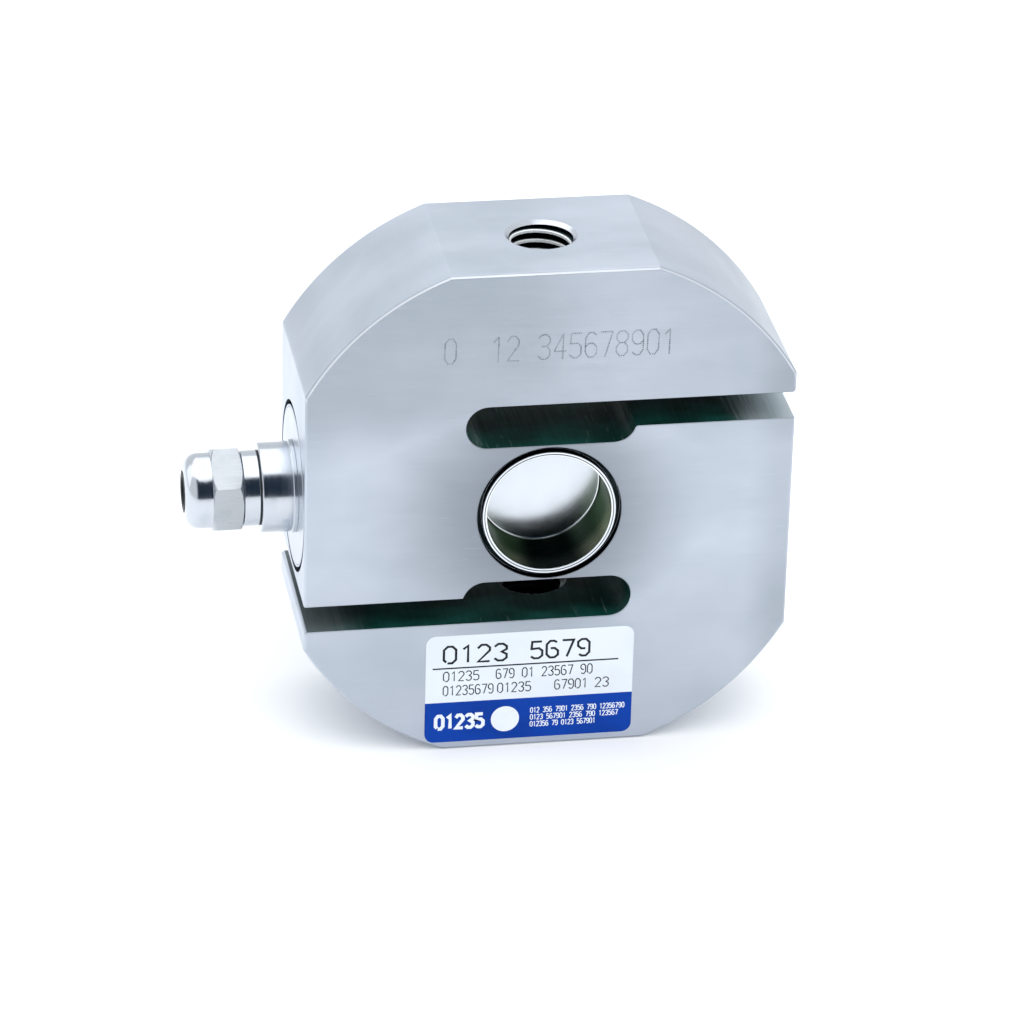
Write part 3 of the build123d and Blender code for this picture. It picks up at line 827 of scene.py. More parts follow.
def makeSideChamber(skin, b):
    # cover seat with its relief groove, board ledge, wire well and passage, inwards from the left flat
    grooveOut = halfThickness - b["sideLand"]
    grooveIn = grooveOut - b["sideGrooveWidth"]
    seat = grooveIn - b["lip"]
    chamber = seat - b["coverLedge"]
    well = chamber - b["boardLedge"]
    small, lipEdge = b["smallEdge"], b["lipEdge"]
    centre = (-halfWidth, 0, 0)
    outer = roundedPath([
        (0, grooveOut + 1.2 * small, 0, 0),
        (0, grooveOut, small * 0.8, 3),
        (b["sideGrooveDepth"], grooveOut, small, 3),
        (b["sideGrooveDepth"], grooveIn, small, 3),
        (0, grooveIn, lipEdge, 0),
        (0, seat, lipEdge, 0),
        (b["coverThickness"], seat, small, 0),
        (b["coverThickness"], chamber, small, 0),
        (b["chamberDepth"], chamber, small, 0),
        (b["chamberDepth"], chamber - 2 * small, 0, 0),
    ], -1)
    mouth, ledgeOuter = skin.turn(outer, centre, (1, 0, 0), (0, 1, 0), b["sideSteps"])
    floor = b["chamberDepth"] + b["wellDepth"]
    inner = roundedPath([
        (b["chamberDepth"], well + 2 * small, 0, 0),
        (b["chamberDepth"], well, small, 0),
        (floor, well, small, 0),
        (floor, b["passageRadius"], small, 0),
        (floor + b["passageLead"], b["passageRadius"], 0, 0),
    ], -1)
    ledgeInner, passageRing = skin.turn(inner, centre, (1, 0, 0), (0, 1, 0), b["sideSteps"])
    ledgeX = -halfWidth + b["chamberDepth"]
    loops = [ledgeOuter, ledgeInner]
    for way in (1, -1):
        hole = roundedPath([
            (0, b["screwHoleRadius"] + 2 * small, 0, 0),
            (0, b["screwHoleRadius"], small, 0),
            (b["screwHoleDepth"], b["screwHoleRadius"], small, 0),
            (b["screwHoleDepth"], 0, 0, 0),
        ], -1)
        spot = (ledgeX, 0, way * b["screwCircle"])
        holeMouth, tip = skin.turn(hole, spot, (1, 0, 0), (0, 1, 0), b["screwSteps"])
        loops.append(holeMouth)
    skin.flat(loops, Vector((-1, 0, 0)))
    exits = passageMouth(b)
    start = []
    end = []
    for place, exitPlace in zip(passageRing, exits):
        inward = Vector((0, -place.y, -place.z)).normalized()
        start.append((place, inward))
        end.append((exitPlace, inward))
    skin.strip(start, end)
    return {"sideChamber": mouth}


# Turned pieces

def turnedPiece(node, material, slot, corners, centre, axis, across, steps=96):
    skin = Skin()
    path = roundedPath(corners, 1, closed=True)
    skin.turn(path, centre, axis, across, steps)
    settle(skin.finish(node + "_skin", [material]), node)


sealingCup = {
    "gap": 0.05,
    "wall": 0.35,
    "depth": 11.6,
    "corner": 0.6,
    "innerCorner": 0.3,
    "rimEdge": 0.10,
    "cornerSteps": 8,
    "dish": 6.5,
}


def makeCups():
    c = sealingCup
    tilt = radians(c["dish"])
    outer = springBody["boreRadius"] - c["gap"]
    inner = outer - c["wall"]
    floorAt = c["depth"] - c["wall"]
    corners = [
        (0, outer, c["rimEdge"], 0),
        (0, inner, c["rimEdge"], 1),
        (floorAt, inner, c["innerCorner"], 2),
        (floorAt, 0, 0, 0),
        (c["depth"], 0, 0, 0),
        (c["depth"], outer, c["corner"], 0),
    ]
    # the floor is shaded as a dish of a few degrees
    path = []
    for s, r, ns, nr, slot in roundedPath(corners, -1, closed=True, steps=c["cornerSteps"]):
        onFloor = abs(s - floorAt) < sameSpot and ns < -0.99
        path.append((s, r, ns, -sin(tilt) * r / inner if onFloor else nr, slot))
    for side, node in ((-1, "front_cup"), (1, "rear_cup")):
        skin = Skin()
        skin.turn(path, (0, side * halfThickness, 0), (0, -side, 0), (1, 0, 0), springBody["boreSteps"])
        piece = skin.finish(node + "_skin", ["cupSteel", "cupWallSteel", "shadedCupFloorSteel"])
        settle(piece, node)


gland = {
    "cable": 2.5,
    "seal": 3.42,
    "stubBore": 4.0,
    "stub": 5.0,
    "halfFlats": 6.85,
    "dome": 6.45,
    "mouth": 3.6,
    "cone": 4.7,
    "bore": 3.2,
    "thread": 5.0,
    "fit": 0.04,
    "collar": 6.45,
    "gasket": 6.38,
    "boss": 7.7,
    "flange": 7.95,
    "spigot": 6.5,
    "coverRadius": 13.42,
    "coverThickness": 1.2,
    "flangeEnd": 0.7,
    "bossEnd": 6.0,
    "gasketEnd": 6.2,
    "collarEnd": 8.95,
    "shankLength": 5.5,
    "seat": 9.65,
    "sealStart": 9.7,
    "stubEnd": 13.45,
    "coneStart": 13.75,
    "hexStart": 9.1,
    "hexLength": 5.1,
    "domeEnd": 18.7,
    "domeRound": 2.6,
    "mouthLand": 0.6,
    "sealEnd": 18.8,
    "hexCorner": 34.0,
    "hexChamfer": 30.0,
    "domeSteps": 12,
    "domeMargin": 0.02,
    "toolOver": 2.0,
    "capEdge": 0.10,
    "bevelFrom": 24.0,
    "sharpFrom": 28.0,
}


def makeGland():
    g = gland
    side = dict(centre=(-halfWidth, 0, 0), axis=(-1, 0, 0), across=(0, 0, 1))
    turnedPiece("side_cover", "coverSteel", "body_steel", [
        (-g["coverThickness"], g["spigot"], 0.05, 0),
        (-g["coverThickness"], g["coverRadius"], 0.08, 0),
        (0, g["coverRadius"], 0.10, 0),
        (0, g["spigot"], 0.05, 0),
    ], steps=120, **side)
    turnedPiece("entry_boss", "turnedNickel", "nickel_plate", [
        (-g["coverThickness"], g["thread"], 0.05, 0),
        (-g["coverThickness"], g["spigot"] - g["fit"], 0.05, 0),
        (0, g["spigot"] - g["fit"], 0.02, 0),
        (0, g["flange"], 0.10, 0),
        (g["flangeEnd"], g["flange"], 0.12, 0),
        (g["flangeEnd"], g["boss"], 0.10, 0),
        (g["bossEnd"], g["boss"], 0.30, 0),
        (g["bossEnd"], g["thread"], 0.05, 0),
    ], **side)
    turnedPiece("gland_gasket", "blackRubber", "black_rubber", [
        (g["bossEnd"], g["thread"], 0.03, 0),
        (g["bossEnd"], g["gasket"], 0.05, 0),
        (g["gasketEnd"], g["gasket"], 0.05, 0),
        (g["gasketEnd"], g["thread"], 0.03, 0),
    ], **side)
    turnedPiece("gland_body", "turnedNickel", "nickel_plate", [
        (g["gasketEnd"] - g["shankLength"], g["bore"], 0.05, 0),
        (g["gasketEnd"] - g["shankLength"], g["thread"] - g["fit"], 0.15, 0),
        (g["gasketEnd"], g["thread"] - g["fit"], 0.02, 0),
        (g["gasketEnd"], g["collar"], 0.12, 0),
        (g["collarEnd"], g["collar"], 0.20, 0),
        (g["collarEnd"], g["stub"], 0.05, 0),
        (g["stubEnd"], g["stub"], 0.15, 0),
        (g["stubEnd"], g["stubBore"], 0.05, 0),
        (g["seat"], g["stubBore"], 0.05, 0),
        (g["seat"], g["bore"], 0.05, 0),
    ], **side)
    turnedPiece("gland_seal", "blackRubber", "black_rubber", [
        (g["sealStart"], g["cable"], 0.05, 0),
        (g["sealStart"], g["seal"], 0.10, 0),
        (g["sealEnd"], g["seal"], 0.25, 0),
        (g["sealEnd"], g["cable"], 0.20, 0),
    ], **side)


def solidOf(name, points, faces):
    mesh = bpy.data.meshes.new(name)
    mesh.from_pydata(points, [], faces)
    mesh.update()
    return addPiece(name, mesh)


def turnedTool(name, corners):
    # closed shape of revolution for cutting, in the frame's place
    skin = Skin()
    path = roundedPath([(s, r, 0, 0) for s, r in corners], 1, closed=True)
    skin.turn(path, (-halfWidth, 0, 0), (-1, 0, 0), (0, 0, 1))
    return solidOf(name, [toFrame(place) for place in skin.places], skin.faces)


def combine(piece, tool, operation):
    change = piece.modifiers.new(operation, "BOOLEAN")
    change.operation = operation
    change.object = tool
    change.solver = "EXACT"


def applied(piece, name):
    # the evaluated mesh as a new plain piece
    bpy.context.view_layer.update()
    shown = piece.evaluated_get(bpy.context.evaluated_depsgraph_get())
    mesh = bpy.data.meshes.new_from_object(shown)
    mesh.name = name
    bpy.data.objects.remove(piece)
    return addPiece(name, mesh)


def makeCap():
    # dome nut: a hexagon cut by two cones, a rounded dome and the hollow for stub, cage and seal
    g = gland
    corner = g["halfFlats"] / cos(pi / 6)
    rise = (corner - g["halfFlats"]) * tan(radians(g["hexChamfer"]))
    start, end = g["hexStart"], g["hexStart"] + g["hexLength"]
    points, faces = [], []
    for along in (start, end):
        for index in range(6):
            angle = radians(g["hexCorner"]) + index * pi / 3
            points.append(toFrame(Vector((-halfWidth - along, corner * cos(angle), corner * sin(angle)))))
    faces = [[index, (index + 1) % 6, 6 + (index + 1) % 6, 6 + index] for index in range(6)]
    faces += [[5, 4, 3, 2, 1, 0], [6, 7, 8, 9, 10, 11]]
    cap = solidOf("capHex", points, faces)
    over = g["toolOver"]
    envelope = turnedTool("capEnvelope", [
        (start, 0), (start, g["halfFlats"]), (start + rise, corner),
        (end - rise, corner), (end, g["halfFlats"]), (end, 0),
    ])
    domeArc = []
    for step in range(g["domeSteps"] + 1):
        angle = pi / 2 * step / g["domeSteps"]
        short, within = g["domeRound"] * (1 - sin(angle)), g["domeRound"] * (1 - cos(angle))
        domeArc.append((g["domeEnd"] - short, g["dome"] - within))
    dome = turnedTool("capDome", [(end - rise, 0), (end - rise, g["dome"])] + domeArc + [(g["domeEnd"], 0)])
    hollow = turnedTool("capHollow", [
        (start - over, 0),
        (start - over, g["stub"] + g["fit"]),
        (g["coneStart"], g["stub"] + g["fit"]),
        (g["coneStart"], g["cone"]),
        (g["domeEnd"] - g["mouthLand"], g["mouth"]),
        (g["domeEnd"] + over, g["mouth"]),
        (g["domeEnd"] + over, 0),
    ])
    combine(cap, envelope, "INTERSECT")
    combine(cap, dome, "UNION")
    combine(cap, hollow, "DIFFERENCE")
    cap = applied(cap, "capJoined")
    for tool in (envelope, dome, hollow):
        bpy.data.objects.remove(tool)
    soften = cap.modifiers.new("Bevel", "BEVEL")
    soften.width = g["capEdge"] / metre
    soften.segments = 2
    soften.limit_method = "ANGLE"
    soften.angle_limit = radians(g["bevelFrom"])
    soften.harden_normals = False
    cap = applied(cap, "gland_cap_skin")
    cap.data.polygons.foreach_set("use_smooth", [True] * len(cap.data.polygons))
    cap.data.set_sharp_from_angle(angle=radians(g["sharpFrom"]))
    cap.data.materials.clear()
    cap.data.materials.append(looks["hexNickel"])
    cap.data.materials.append(looks["turnedNickel"])
    # the dome is turned, the hexagon drawn
    domeFrom = (-halfWidth - end + rise) / metre
    domeReach = (g["dome"] + g["domeMargin"]) / metre
    for face in cap.data.polygons:
        offAxis = Vector((face.center.y, face.center.z - middle.z)).length
        face.material_index = 1 if face.center.x < domeFrom and offAxis < domeReach else 0
    settle(cap, "gland_cap")


# Label

labelFilm = {
    "width": 35.9,
    "height": 20.6,
    "thickness": 0.12,
    "corner": 1.7,
    "centreX": -2.65,
    "bottom": 1.5,
    "bandHeight": 7.75,
    "edge": 0.04,
    "edgeSteps": 4,
    "cornerSteps": 8,
    "digitWidth": 0.72,
    "ruleFrom": 1.2,
    "ruleTo": 33.3,
    "ruleHeight": 14.35,
    "ruleStroke": 0.28,
    "discX": 13.9,
    "discZ": 3.9,
    "discRadius": 2.45,
    "discSteps": 32,
    # rows of print: base, top, stroke, and each word with its two ends, from the film's lower left corner
    "whiteRows": (
        (15.35, 18.55, 0.42, (("0123", 3.1, 13.9), ("5679", 18.1, 28.2))),
        (11.85, 13.65, 0.20, (("01235", 3.1, 9.2), ("679 01 23567 90", 12.2, 28.8))),
        (9.10, 10.90, 0.20, (("01235679", 3.1, 11.7), ("01235", 12.5, 18.2), ("67901", 22.4, 28.0),
                             ("23", 29.4, 31.7))),
    ),
    "bandRows": (
        (4.80, 5.75, 0.15, (("012 356 7901 2356 790 12356790", 18.3, 34.6),)),
        (3.45, 4.40, 0.15, (("0123 567901 2356 790 123567", 18.3, 33.5),)),
        (2.10, 3.05, 0.15, (("012356 79 0123 567901", 18.3, 29.6),)),
        (2.65, 5.15, 0.62, (("01235", 1.9, 10.1),)),
    ),
}


# strokes of the digits in a cell one wide and two high; on the label none meets itself
labelDigits = {
    "0": (((0.3, 0), (0.7, 0), (1, 0.4), (1, 1.6), (0.7, 2), (0.3, 2), (0, 1.6), (0, 0.4), (0.2, 0.13)),),
    "1": (((0.2, 1.6), (0.6, 2), (0.6, 0)),),
    "2": (((0, 1.6), (0.3, 2), (0.7, 2), (1, 1.65), (1, 1.3), (0.05, 0), (1, 0)),),
    "3": (((0, 1.7), (0.3, 2), (0.7, 2), (1, 1.7), (1, 1.35), (0.6, 1.05), (1, 0.75), (1, 0.3), (0.7, 0),
           (0.3, 0), (0, 0.3)),),
    "5": (((0.95, 2), (0.1, 2), (0.05, 1.15), (0.7, 1.2), (1, 0.9), (1, 0.3), (0.7, 0), (0.3, 0),
           (0, 0.25)),),
    "6": (((0.9, 1.8), (0.65, 2), (0.3, 2), (0, 1.6), (0, 0.4), (0.3, 0), (0.7, 0), (1, 0.3), (1, 0.8),
           (0.7, 1.12), (0.35, 1.12)),),
    "7": (((0, 2), (1, 2), (0.4, 0)),),
    "9": (((0.1, 0.2), (0.35, 0), (0.7, 0), (1, 0.4), (1, 1.6), (0.7, 2), (0.3, 2), (0, 1.7), (0, 1.2),
           (0.3, 0.88), (0.65, 0.88)),),
}


def strokeOutline(places, half):
    # a line of one width with square ends, as a closed outline
    points = [Vector(place) for place in places]
    above, below = [], []
    for index, point in enumerate(points):
        before = (point - points[index - 1]) if index else (points[1] - point)
        after = (points[index + 1] - point) if index + 1 < len(points) else before
        first = left(before.normalized())
        lean = (first + left(after.normalized())).normalized()
        reach = half / max(lean.dot(first), 0.55)
        above.append(tuple(point + lean * reach))
        below.append(tuple(point - lean * reach))
    return above + below[::-1]


def wordOutlines(word, start, end, low, high, stroke):
    # digits spread evenly between two ends
    width = labelFilm["digitWidth"]
    pitch = (end - start) / (len(word) - 1 + width)
    outlines = []
    for index, letter in enumerate(word):
        for places in labelDigits.get(letter, ()):
            spread = [(start + pitch * (index + width * x), low + (high - low) * z / 2) for x, z in places]
            outlines.append(strokeOutline(spread, stroke / 2))
    return outlines


def labelPrint(f):
    # plain numbers on the white field, plain numbers and a plain disc on the band
    start = f["centreX"] - f["width"] / 2
    base = -halfHeight + f["bottom"]
    upper, lower = [], []
    for outlines, lines in ((upper, f["whiteRows"]), (lower, f["bandRows"])):
        for low, high, stroke, words in lines:
            for word, first, last in words:
                outlines += wordOutlines(word, start + first, start + last, base + low, base + high, stroke)
    ruleZ = base + f["ruleHeight"]
    rule = [(start + f["ruleFrom"], ruleZ), (start + f["ruleTo"], ruleZ)]
    upper.append(strokeOutline(rule, f["ruleStroke"] / 2))
    discX, discZ, discRadius = start + f["discX"], base + f["discZ"], f["discRadius"]
    spokes = [2 * pi * step / f["discSteps"] for step in range(f["discSteps"])]
    lower.append([(discX + discRadius * cos(angle), discZ + discRadius * sin(angle)) for angle in spokes])
    return upper, lower


def makeLabel():
    f = labelFilm
    skin = Skin()
    start, right = f["centreX"] - f["width"] / 2, f["centreX"] + f["width"] / 2
    bottom = -halfHeight + f["bottom"]
    top = bottom + f["height"]
    bandTop = bottom + f["bandHeight"]
    corner = f["corner"]
    outline = []
    for centreX, centreZ, turnStart in (
        (right - corner, bottom + corner, -pi / 2), (right - corner, top - corner, 0),
        (start + corner, top - corner, pi / 2), (start + corner, bottom + corner, pi),
    ):
        for step in range(f["cornerSteps"] + 1):
            angle = turnStart + pi / 2 * step / f["cornerSteps"]
            spoke = Vector((cos(angle), sin(angle)))
            outline.append((Vector((centreX, centreZ)) + spoke * corner, spoke))
        if turnStart == -pi / 2:
            outline.append((Vector((right, bandTop)), spoke))
        if turnStart == pi / 2:
            outline.append((Vector((start, bandTop)), spoke))
    face = -halfThickness - f["thickness"]
    rows = []
    for step in range(f["edgeSteps"] + 1):
        angle = pi / 2 * step / f["edgeSteps"]
        row = []
        for place, spoke in outline:
            flatPlace = place - spoke * f["edge"] * (1 - sin(angle))
            depth = face + f["edge"] * (1 - cos(angle))
            normal = Vector((spoke.x * sin(angle), -cos(angle), spoke.y * sin(angle)))
            row.append((Vector((flatPlace.x, depth, flatPlace.y)), normal))
        rows.append(row)
    backRow = []
    for place, spoke in outline:
        backRow.append((Vector((place.x, -halfThickness, place.y)), Vector((spoke.x, 0, spoke.y))))
    rows.append(backRow)
    for row, after in zip(rows, rows[1:]):
        for index in range(len(row)):
            following = (index + 1) % len(row)
            four = (row[index], row[following], after[following], after[index])
            inBand = max(corner[0].z for corner in four) < bandTop + sameSpot
            skin.add([spot[0] for spot in four], [spot[1] for spot in four], 1 if inBand else 0)
    skin.flat([[place for place, normal in backRow]], Vector((0, 1, 0)))
    upper, lower = labelPrint(f)
    front = Vector((0, -1, 0))

    def onFace(places):
        return [Vector((x, face, z)) for x, z in places]

    edgeRow = [place for place, normal in rows[0]]
    split = [index for index, place in enumerate(edgeRow) if abs(place.z - bandTop) < sameSpot]
    blue = edgeRow[split[1]:] + edgeRow[:split[0] + 1]
    white = edgeRow[split[0]:split[1] + 1]
    skin.flat([white] + [onFace(mark) for mark in upper], front, 0)
    skin.flat([blue] + [onFace(mark) for mark in lower], front, 1)
    for marks, slot in ((upper, 2), (lower, 3)):
        for mark in marks:
            skin.flat([onFace(mark)], front, slot)
    piece = skin.finish("label_skin", ["labelWhite", "labelBlue", "labelInk", "labelPale"])
    settle(piece, "label")


# Geometry Nodes

def startTree(name, inputs):
    tree = bpy.data.node_groups.new(name, "GeometryNodeTree")
    tree.interface.new_socket("Geometry", in_out="OUTPUT", socket_type="NodeSocketGeometry")
    for label, kind, value in inputs:
        socket = tree.interface.new_socket(label, in_out="INPUT", socket_type="NodeSocket" + kind)
        if value is not None:
            socket.default_value = value
    return tree, tree.nodes.new("NodeGroupInput"), tree.nodes.new("NodeGroupOutput")


def wire(tree, *pairs):
    for source, target in pairs:
        tree.links.new(source, target)


def endTree(tree, geometry, output, material):
    # Realize Instances and Set Material close every tree
    realize = addNode(tree, "GeometryNodeRealizeInstances")
    paint = addNode(tree, "GeometryNodeSetMaterial")
    paint.inputs["Material"].default_value = looks[material]
    wire(tree, (geometry, realize.inputs["Geometry"]),
         (realize.outputs["Geometry"], paint.inputs["Geometry"]),
         (paint.outputs["Geometry"], output.inputs["Geometry"]))


def grow(tree, values, name):
    # runs a tree on an empty mesh and keeps the result as a plain piece
    holder = addPiece(name + "_holder", bpy.data.meshes.new(name + "_holder"))
    modifier = holder.modifiers.new("Nodes", "NODES")
    modifier.node_group = tree
    for item in tree.interface.items_tree:
        if item.item_type == "SOCKET" and item.in_out == "INPUT" and item.name in values:
            modifier[item.identifier] = values[item.name]
    piece = applied(holder, name)
    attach(piece, "root")
    print(name + ":", len(piece.data.polygons), "faces")
    return piece


loadThread = {
    "major": 6.03,
    "minor": 5.08,
    "pitch": 1.75,
    "crest": 0.42,
    "root": 1.54,
    "firstDepth": 0.42,
    "runOut": 0.2,
    "sink": 6.08,
    "coneDepth": 0.62,
    "endRoom": 0.4,
    "skin": 0.02,
    "stepsPerTurn": 72,
}


def gridPlace(tree, rows, steps):
    # a grid one wide and one high, with its running shares along and across
    grid = addNode(tree, "GeometryNodeMeshGrid")
    grid.inputs["Size X"].default_value = 1.0
    grid.inputs["Size Y"].default_value = 1.0
    grid.inputs["Vertices Y"].default_value = rows
    wire(tree, (steps, grid.inputs["Vertices X"]))
    place = addNode(tree, "GeometryNodeInputPosition")
    apart = addNode(tree, "ShaderNodeSeparateXYZ")
    wire(tree, (place.outputs[0], apart.inputs[0]))
    along = plus(tree, apart.outputs["X"], 0.5)
    across = times(tree, plus(tree, apart.outputs["Y"], 0.5), rows - 1.0)
    return grid, along, across


def wrapGrid(tree, grid, get, turnsDone, radius, depth):
    # bends the grid round the hole; right-handed from either end
    angle = times(tree, turnsDone, -2 * pi)
    x = times(tree, radius, reckon(tree, "COSINE", angle))
    y = times(tree, times(tree, radius, reckon(tree, "SINE", angle)), get["Way"])
    z = minus(tree, get["Face"], times(tree, depth, get["Way"]))
    joined = addNode(tree, "ShaderNodeCombineXYZ")
    setPlace = addNode(tree, "GeometryNodeSetPosition")
    wire(tree, (x, joined.inputs[0]), (y, joined.inputs[1]), (z, joined.inputs[2]),
         (grid.outputs["Mesh"], setPlace.inputs["Geometry"]),
         (joined.outputs[0], setPlace.inputs["Position"]))
    return setPlace.outputs["Geometry"]


def threadTree():
    # the cone that leads in, and a ridge of trapezoid section wound along a helix down to the slot
    tree, given, output = startTree("loadThreadRidge", (
        ("Major", "Float", 0.006), ("Minor", "Float", 0.005), ("Pitch", "Float", 0.00175),
        ("Crest", "Float", 0.0003), ("Root", "Float", 0.0015), ("Face", "Float", 0.0),
        ("First Depth", "Float", 0.0), ("Last Depth", "Float", 0.02), ("Sink", "Float", 0.0063),
        ("Skin", "Float", 0.00002), ("Cone Depth", "Float", 0.00088), ("Turns", "Float", 10.0),
        ("Run Out", "Float", 0.2), ("Steps", "Int", 500), ("Cone Steps", "Int", 73), ("Way", "Float", 1.0),
    ))
    get = given.outputs
    # the ridge: rows 0 and 3 lie on the root, rows 1 and 2 on the crest
    grid, along, across = gridPlace(tree, 4, get["Steps"])
    turnsDone = times(tree, along, get["Turns"])
    row = minus(tree, across, 1.5)
    isRoot = reckon(tree, "GREATER_THAN", reckon(tree, "ABSOLUTE", row), 1.0)
    isCrest = minus(tree, 1.0, isRoot)
    reach = plus(tree, times(tree, isRoot, get["Root"]), times(tree, isCrest, get["Crest"]))
    sideways = times(tree, times(tree, reckon(tree, "SIGN", row), reach), 0.5)
    depth = plus(tree, times(tree, turnsDone, get["Pitch"]), get["First Depth"])
    depth = larger(tree, plus(tree, depth, sideways), get["Skin"])
    depth = smaller(tree, depth, get["Last Depth"])
    # the crest stays behind the cone, and sinks into the wall where the thread ends
    toEnd = reckon(tree, "DIVIDE", minus(tree, get["Turns"], turnsDone), get["Run Out"])
    drop = minus(tree, get["Major"], get["Minor"])
    drop = times(tree, drop, smaller(tree, toEnd, isCrest))
    radius = minus(tree, get["Major"], drop)
    behind = minus(tree, plus(tree, get["Sink"], get["Skin"]), depth)
    ridge = wrapGrid(tree, grid, get, turnsDone, larger(tree, radius, behind), depth)
    # the cone: row 0 at the mouth, row 1 at its small end, row 2 back on the wall
    grid, along, across = gridPlace(tree, 3, get["Cone Steps"])
    isLast = reckon(tree, "GREATER_THAN", across, 1.5)
    share = smaller(tree, across, 1.0)
    depth = times(tree, share, get["Cone Depth"])
    coneRadius = minus(tree, minus(tree, get["Sink"], get["Skin"]), depth)
    back = times(tree, minus(tree, get["Major"], coneRadius), isLast)
    depth = plus(tree, depth, times(tree, back, 0.6))
    cone = wrapGrid(tree, grid, get, along, plus(tree, coneRadius, back), depth)
    both = addNode(tree, "GeometryNodeJoinGeometry")
    closed = addNode(tree, "GeometryNodeMergeByDistance")
    closed.inputs["Distance"].default_value = 1e-6
    flatShade = addNode(tree, "GeometryNodeSetShadeSmooth")
    flatShade.inputs["Shade Smooth"].default_value = False
    wire(tree, (cone, both.inputs["Geometry"]), (ridge, both.inputs["Geometry"]),
         (both.outputs["Geometry"], closed.inputs["Geometry"]),
         (closed.outputs["Geometry"], flatShade.inputs["Geometry"]))
    endTree(tree, flatShade.outputs["Geometry"], output, "threadSteel")
    return tree


def makeThreads():
    t = loadThread
    lastDepth = threadLength() - t["endRoom"]
    turns = (lastDepth + t["crest"] / 2 - t["firstDepth"]) / t["pitch"]
    tree = threadTree()
    for way, name in ((1, "top_thread_ridge"), (-1, "bottom_thread_ridge")):
        piece = grow(tree, {
            "Major": t["major"] / metre,
            "Minor": t["minor"] / metre,
            "Pitch": t["pitch"] / metre,
            "Crest": t["crest"] / metre,
            "Root": t["root"] / metre,
            "Face": middle.z + way * halfHeight / metre,
            "First Depth": t["firstDepth"] / metre,
            "Last Depth": lastDepth / metre,
            "Sink": t["sink"] / metre,
            "Skin": t["skin"] / metre,
            "Cone Depth": t["coneDepth"] / metre,
            "Turns": turns,
            "Run Out": t["runOut"],
            "Steps": int(turns * t["stepsPerTurn"]),
            "Cone Steps": t["stepsPerTurn"] + 1,
            "Way": float(way),
        }, name)
        turnInwards(piece)


def turnInwards(piece):
    # the ridge's faces look at the axis of its hole
    mesh = piece.data
    wrong = 0
    for face in mesh.polygons:
        spoke = Vector((face.center.x, face.center.y, 0))
        wrong += 1 if face.normal.dot(spoke) > 0 else -1
    if wrong > 0:
        mesh.flip_normals()


peenedDigits = {
    "text": "0  12 345678901",
    "left": -18.4,
    "base": 28.7,
    "height": 4.5,
    "width": 1.9,
    "pitch": 2.62,
    "dotSpacing": 0.34,
    "dotRadius": 0.145,
    "dotHeight": 0.02,
    "dotSides": 8,
    "sizeSpread": 0.15,
    "lean": 0.02,
    "seed": 7,
}


def peenedStrokes():
    # the digits as a peening pen draws them
    oval = ((0.3, 0), (0.7, 0), (1, 0.4), (1, 1.6), (0.7, 2), (0.3, 2), (0, 1.6), (0, 0.4), (0.3, 0))
    six = ((0.9, 1.8), (0.65, 2), (0.3, 2), (0, 1.6), (0, 0.4), (0.3, 0), (0.7, 0), (1, 0.3), (1, 0.8),
           (0.7, 1.12), (0.3, 1.12), (0, 0.85))
    return {
        **labelDigits,
        "0": (oval,),
        "2": (((0, 1.6), (0.3, 2), (0.7, 2), (1, 1.65), (1, 1.3), (0, 0), (1, 0)),),
        "3": (((0, 1.75), (0.3, 2), (0.7, 2), (1, 1.7), (1, 1.35), (0.7, 1.05), (0.35, 1.05)),
              ((0.7, 1.05), (1, 0.75), (1, 0.3), (0.7, 0), (0.3, 0), (0, 0.25))),
        "4": (((0.78, 0), (0.78, 2), (0, 0.6), (1, 0.6)),),
        "6": (six,),
        "8": (((0.3, 1.05), (0, 1.35), (0, 1.7), (0.3, 2), (0.7, 2), (1, 1.7), (1, 1.35), (0.7, 1.05),
               (0.3, 1.05)),
              ((0.3, 1.05), (0, 0.75), (0, 0.3), (0.3, 0), (0.7, 0), (1, 0.3), (1, 0.75), (0.7, 1.05))),
        "9": (tuple((1 - x, 2 - z) for x, z in six),),
    }


def dotMesh(p):
    # one punch mark: a dark pit inside a low rim of pushed-up steel
    skin = Skin()
    radius, height = p["dotRadius"], p["dotHeight"]
    path = [
        (0.003, 0.0, 1, 0, 0),
        (0.006, radius * 0.55, 0.9, -0.3, 0),
        (height, radius * 0.8, 1, 0, 0),
        (0.0, radius, 0.4, 0.9, 0),
    ]
    skin.turn(path, (0, 0, 0), (0, -1, 0), (1, 0, 0), p["dotSides"])
    mesh = bpy.data.meshes.new("punchMark")
    mesh.from_pydata([place / metre for place in skin.places], [], skin.faces)
    return addPiece("punchMark", mesh)


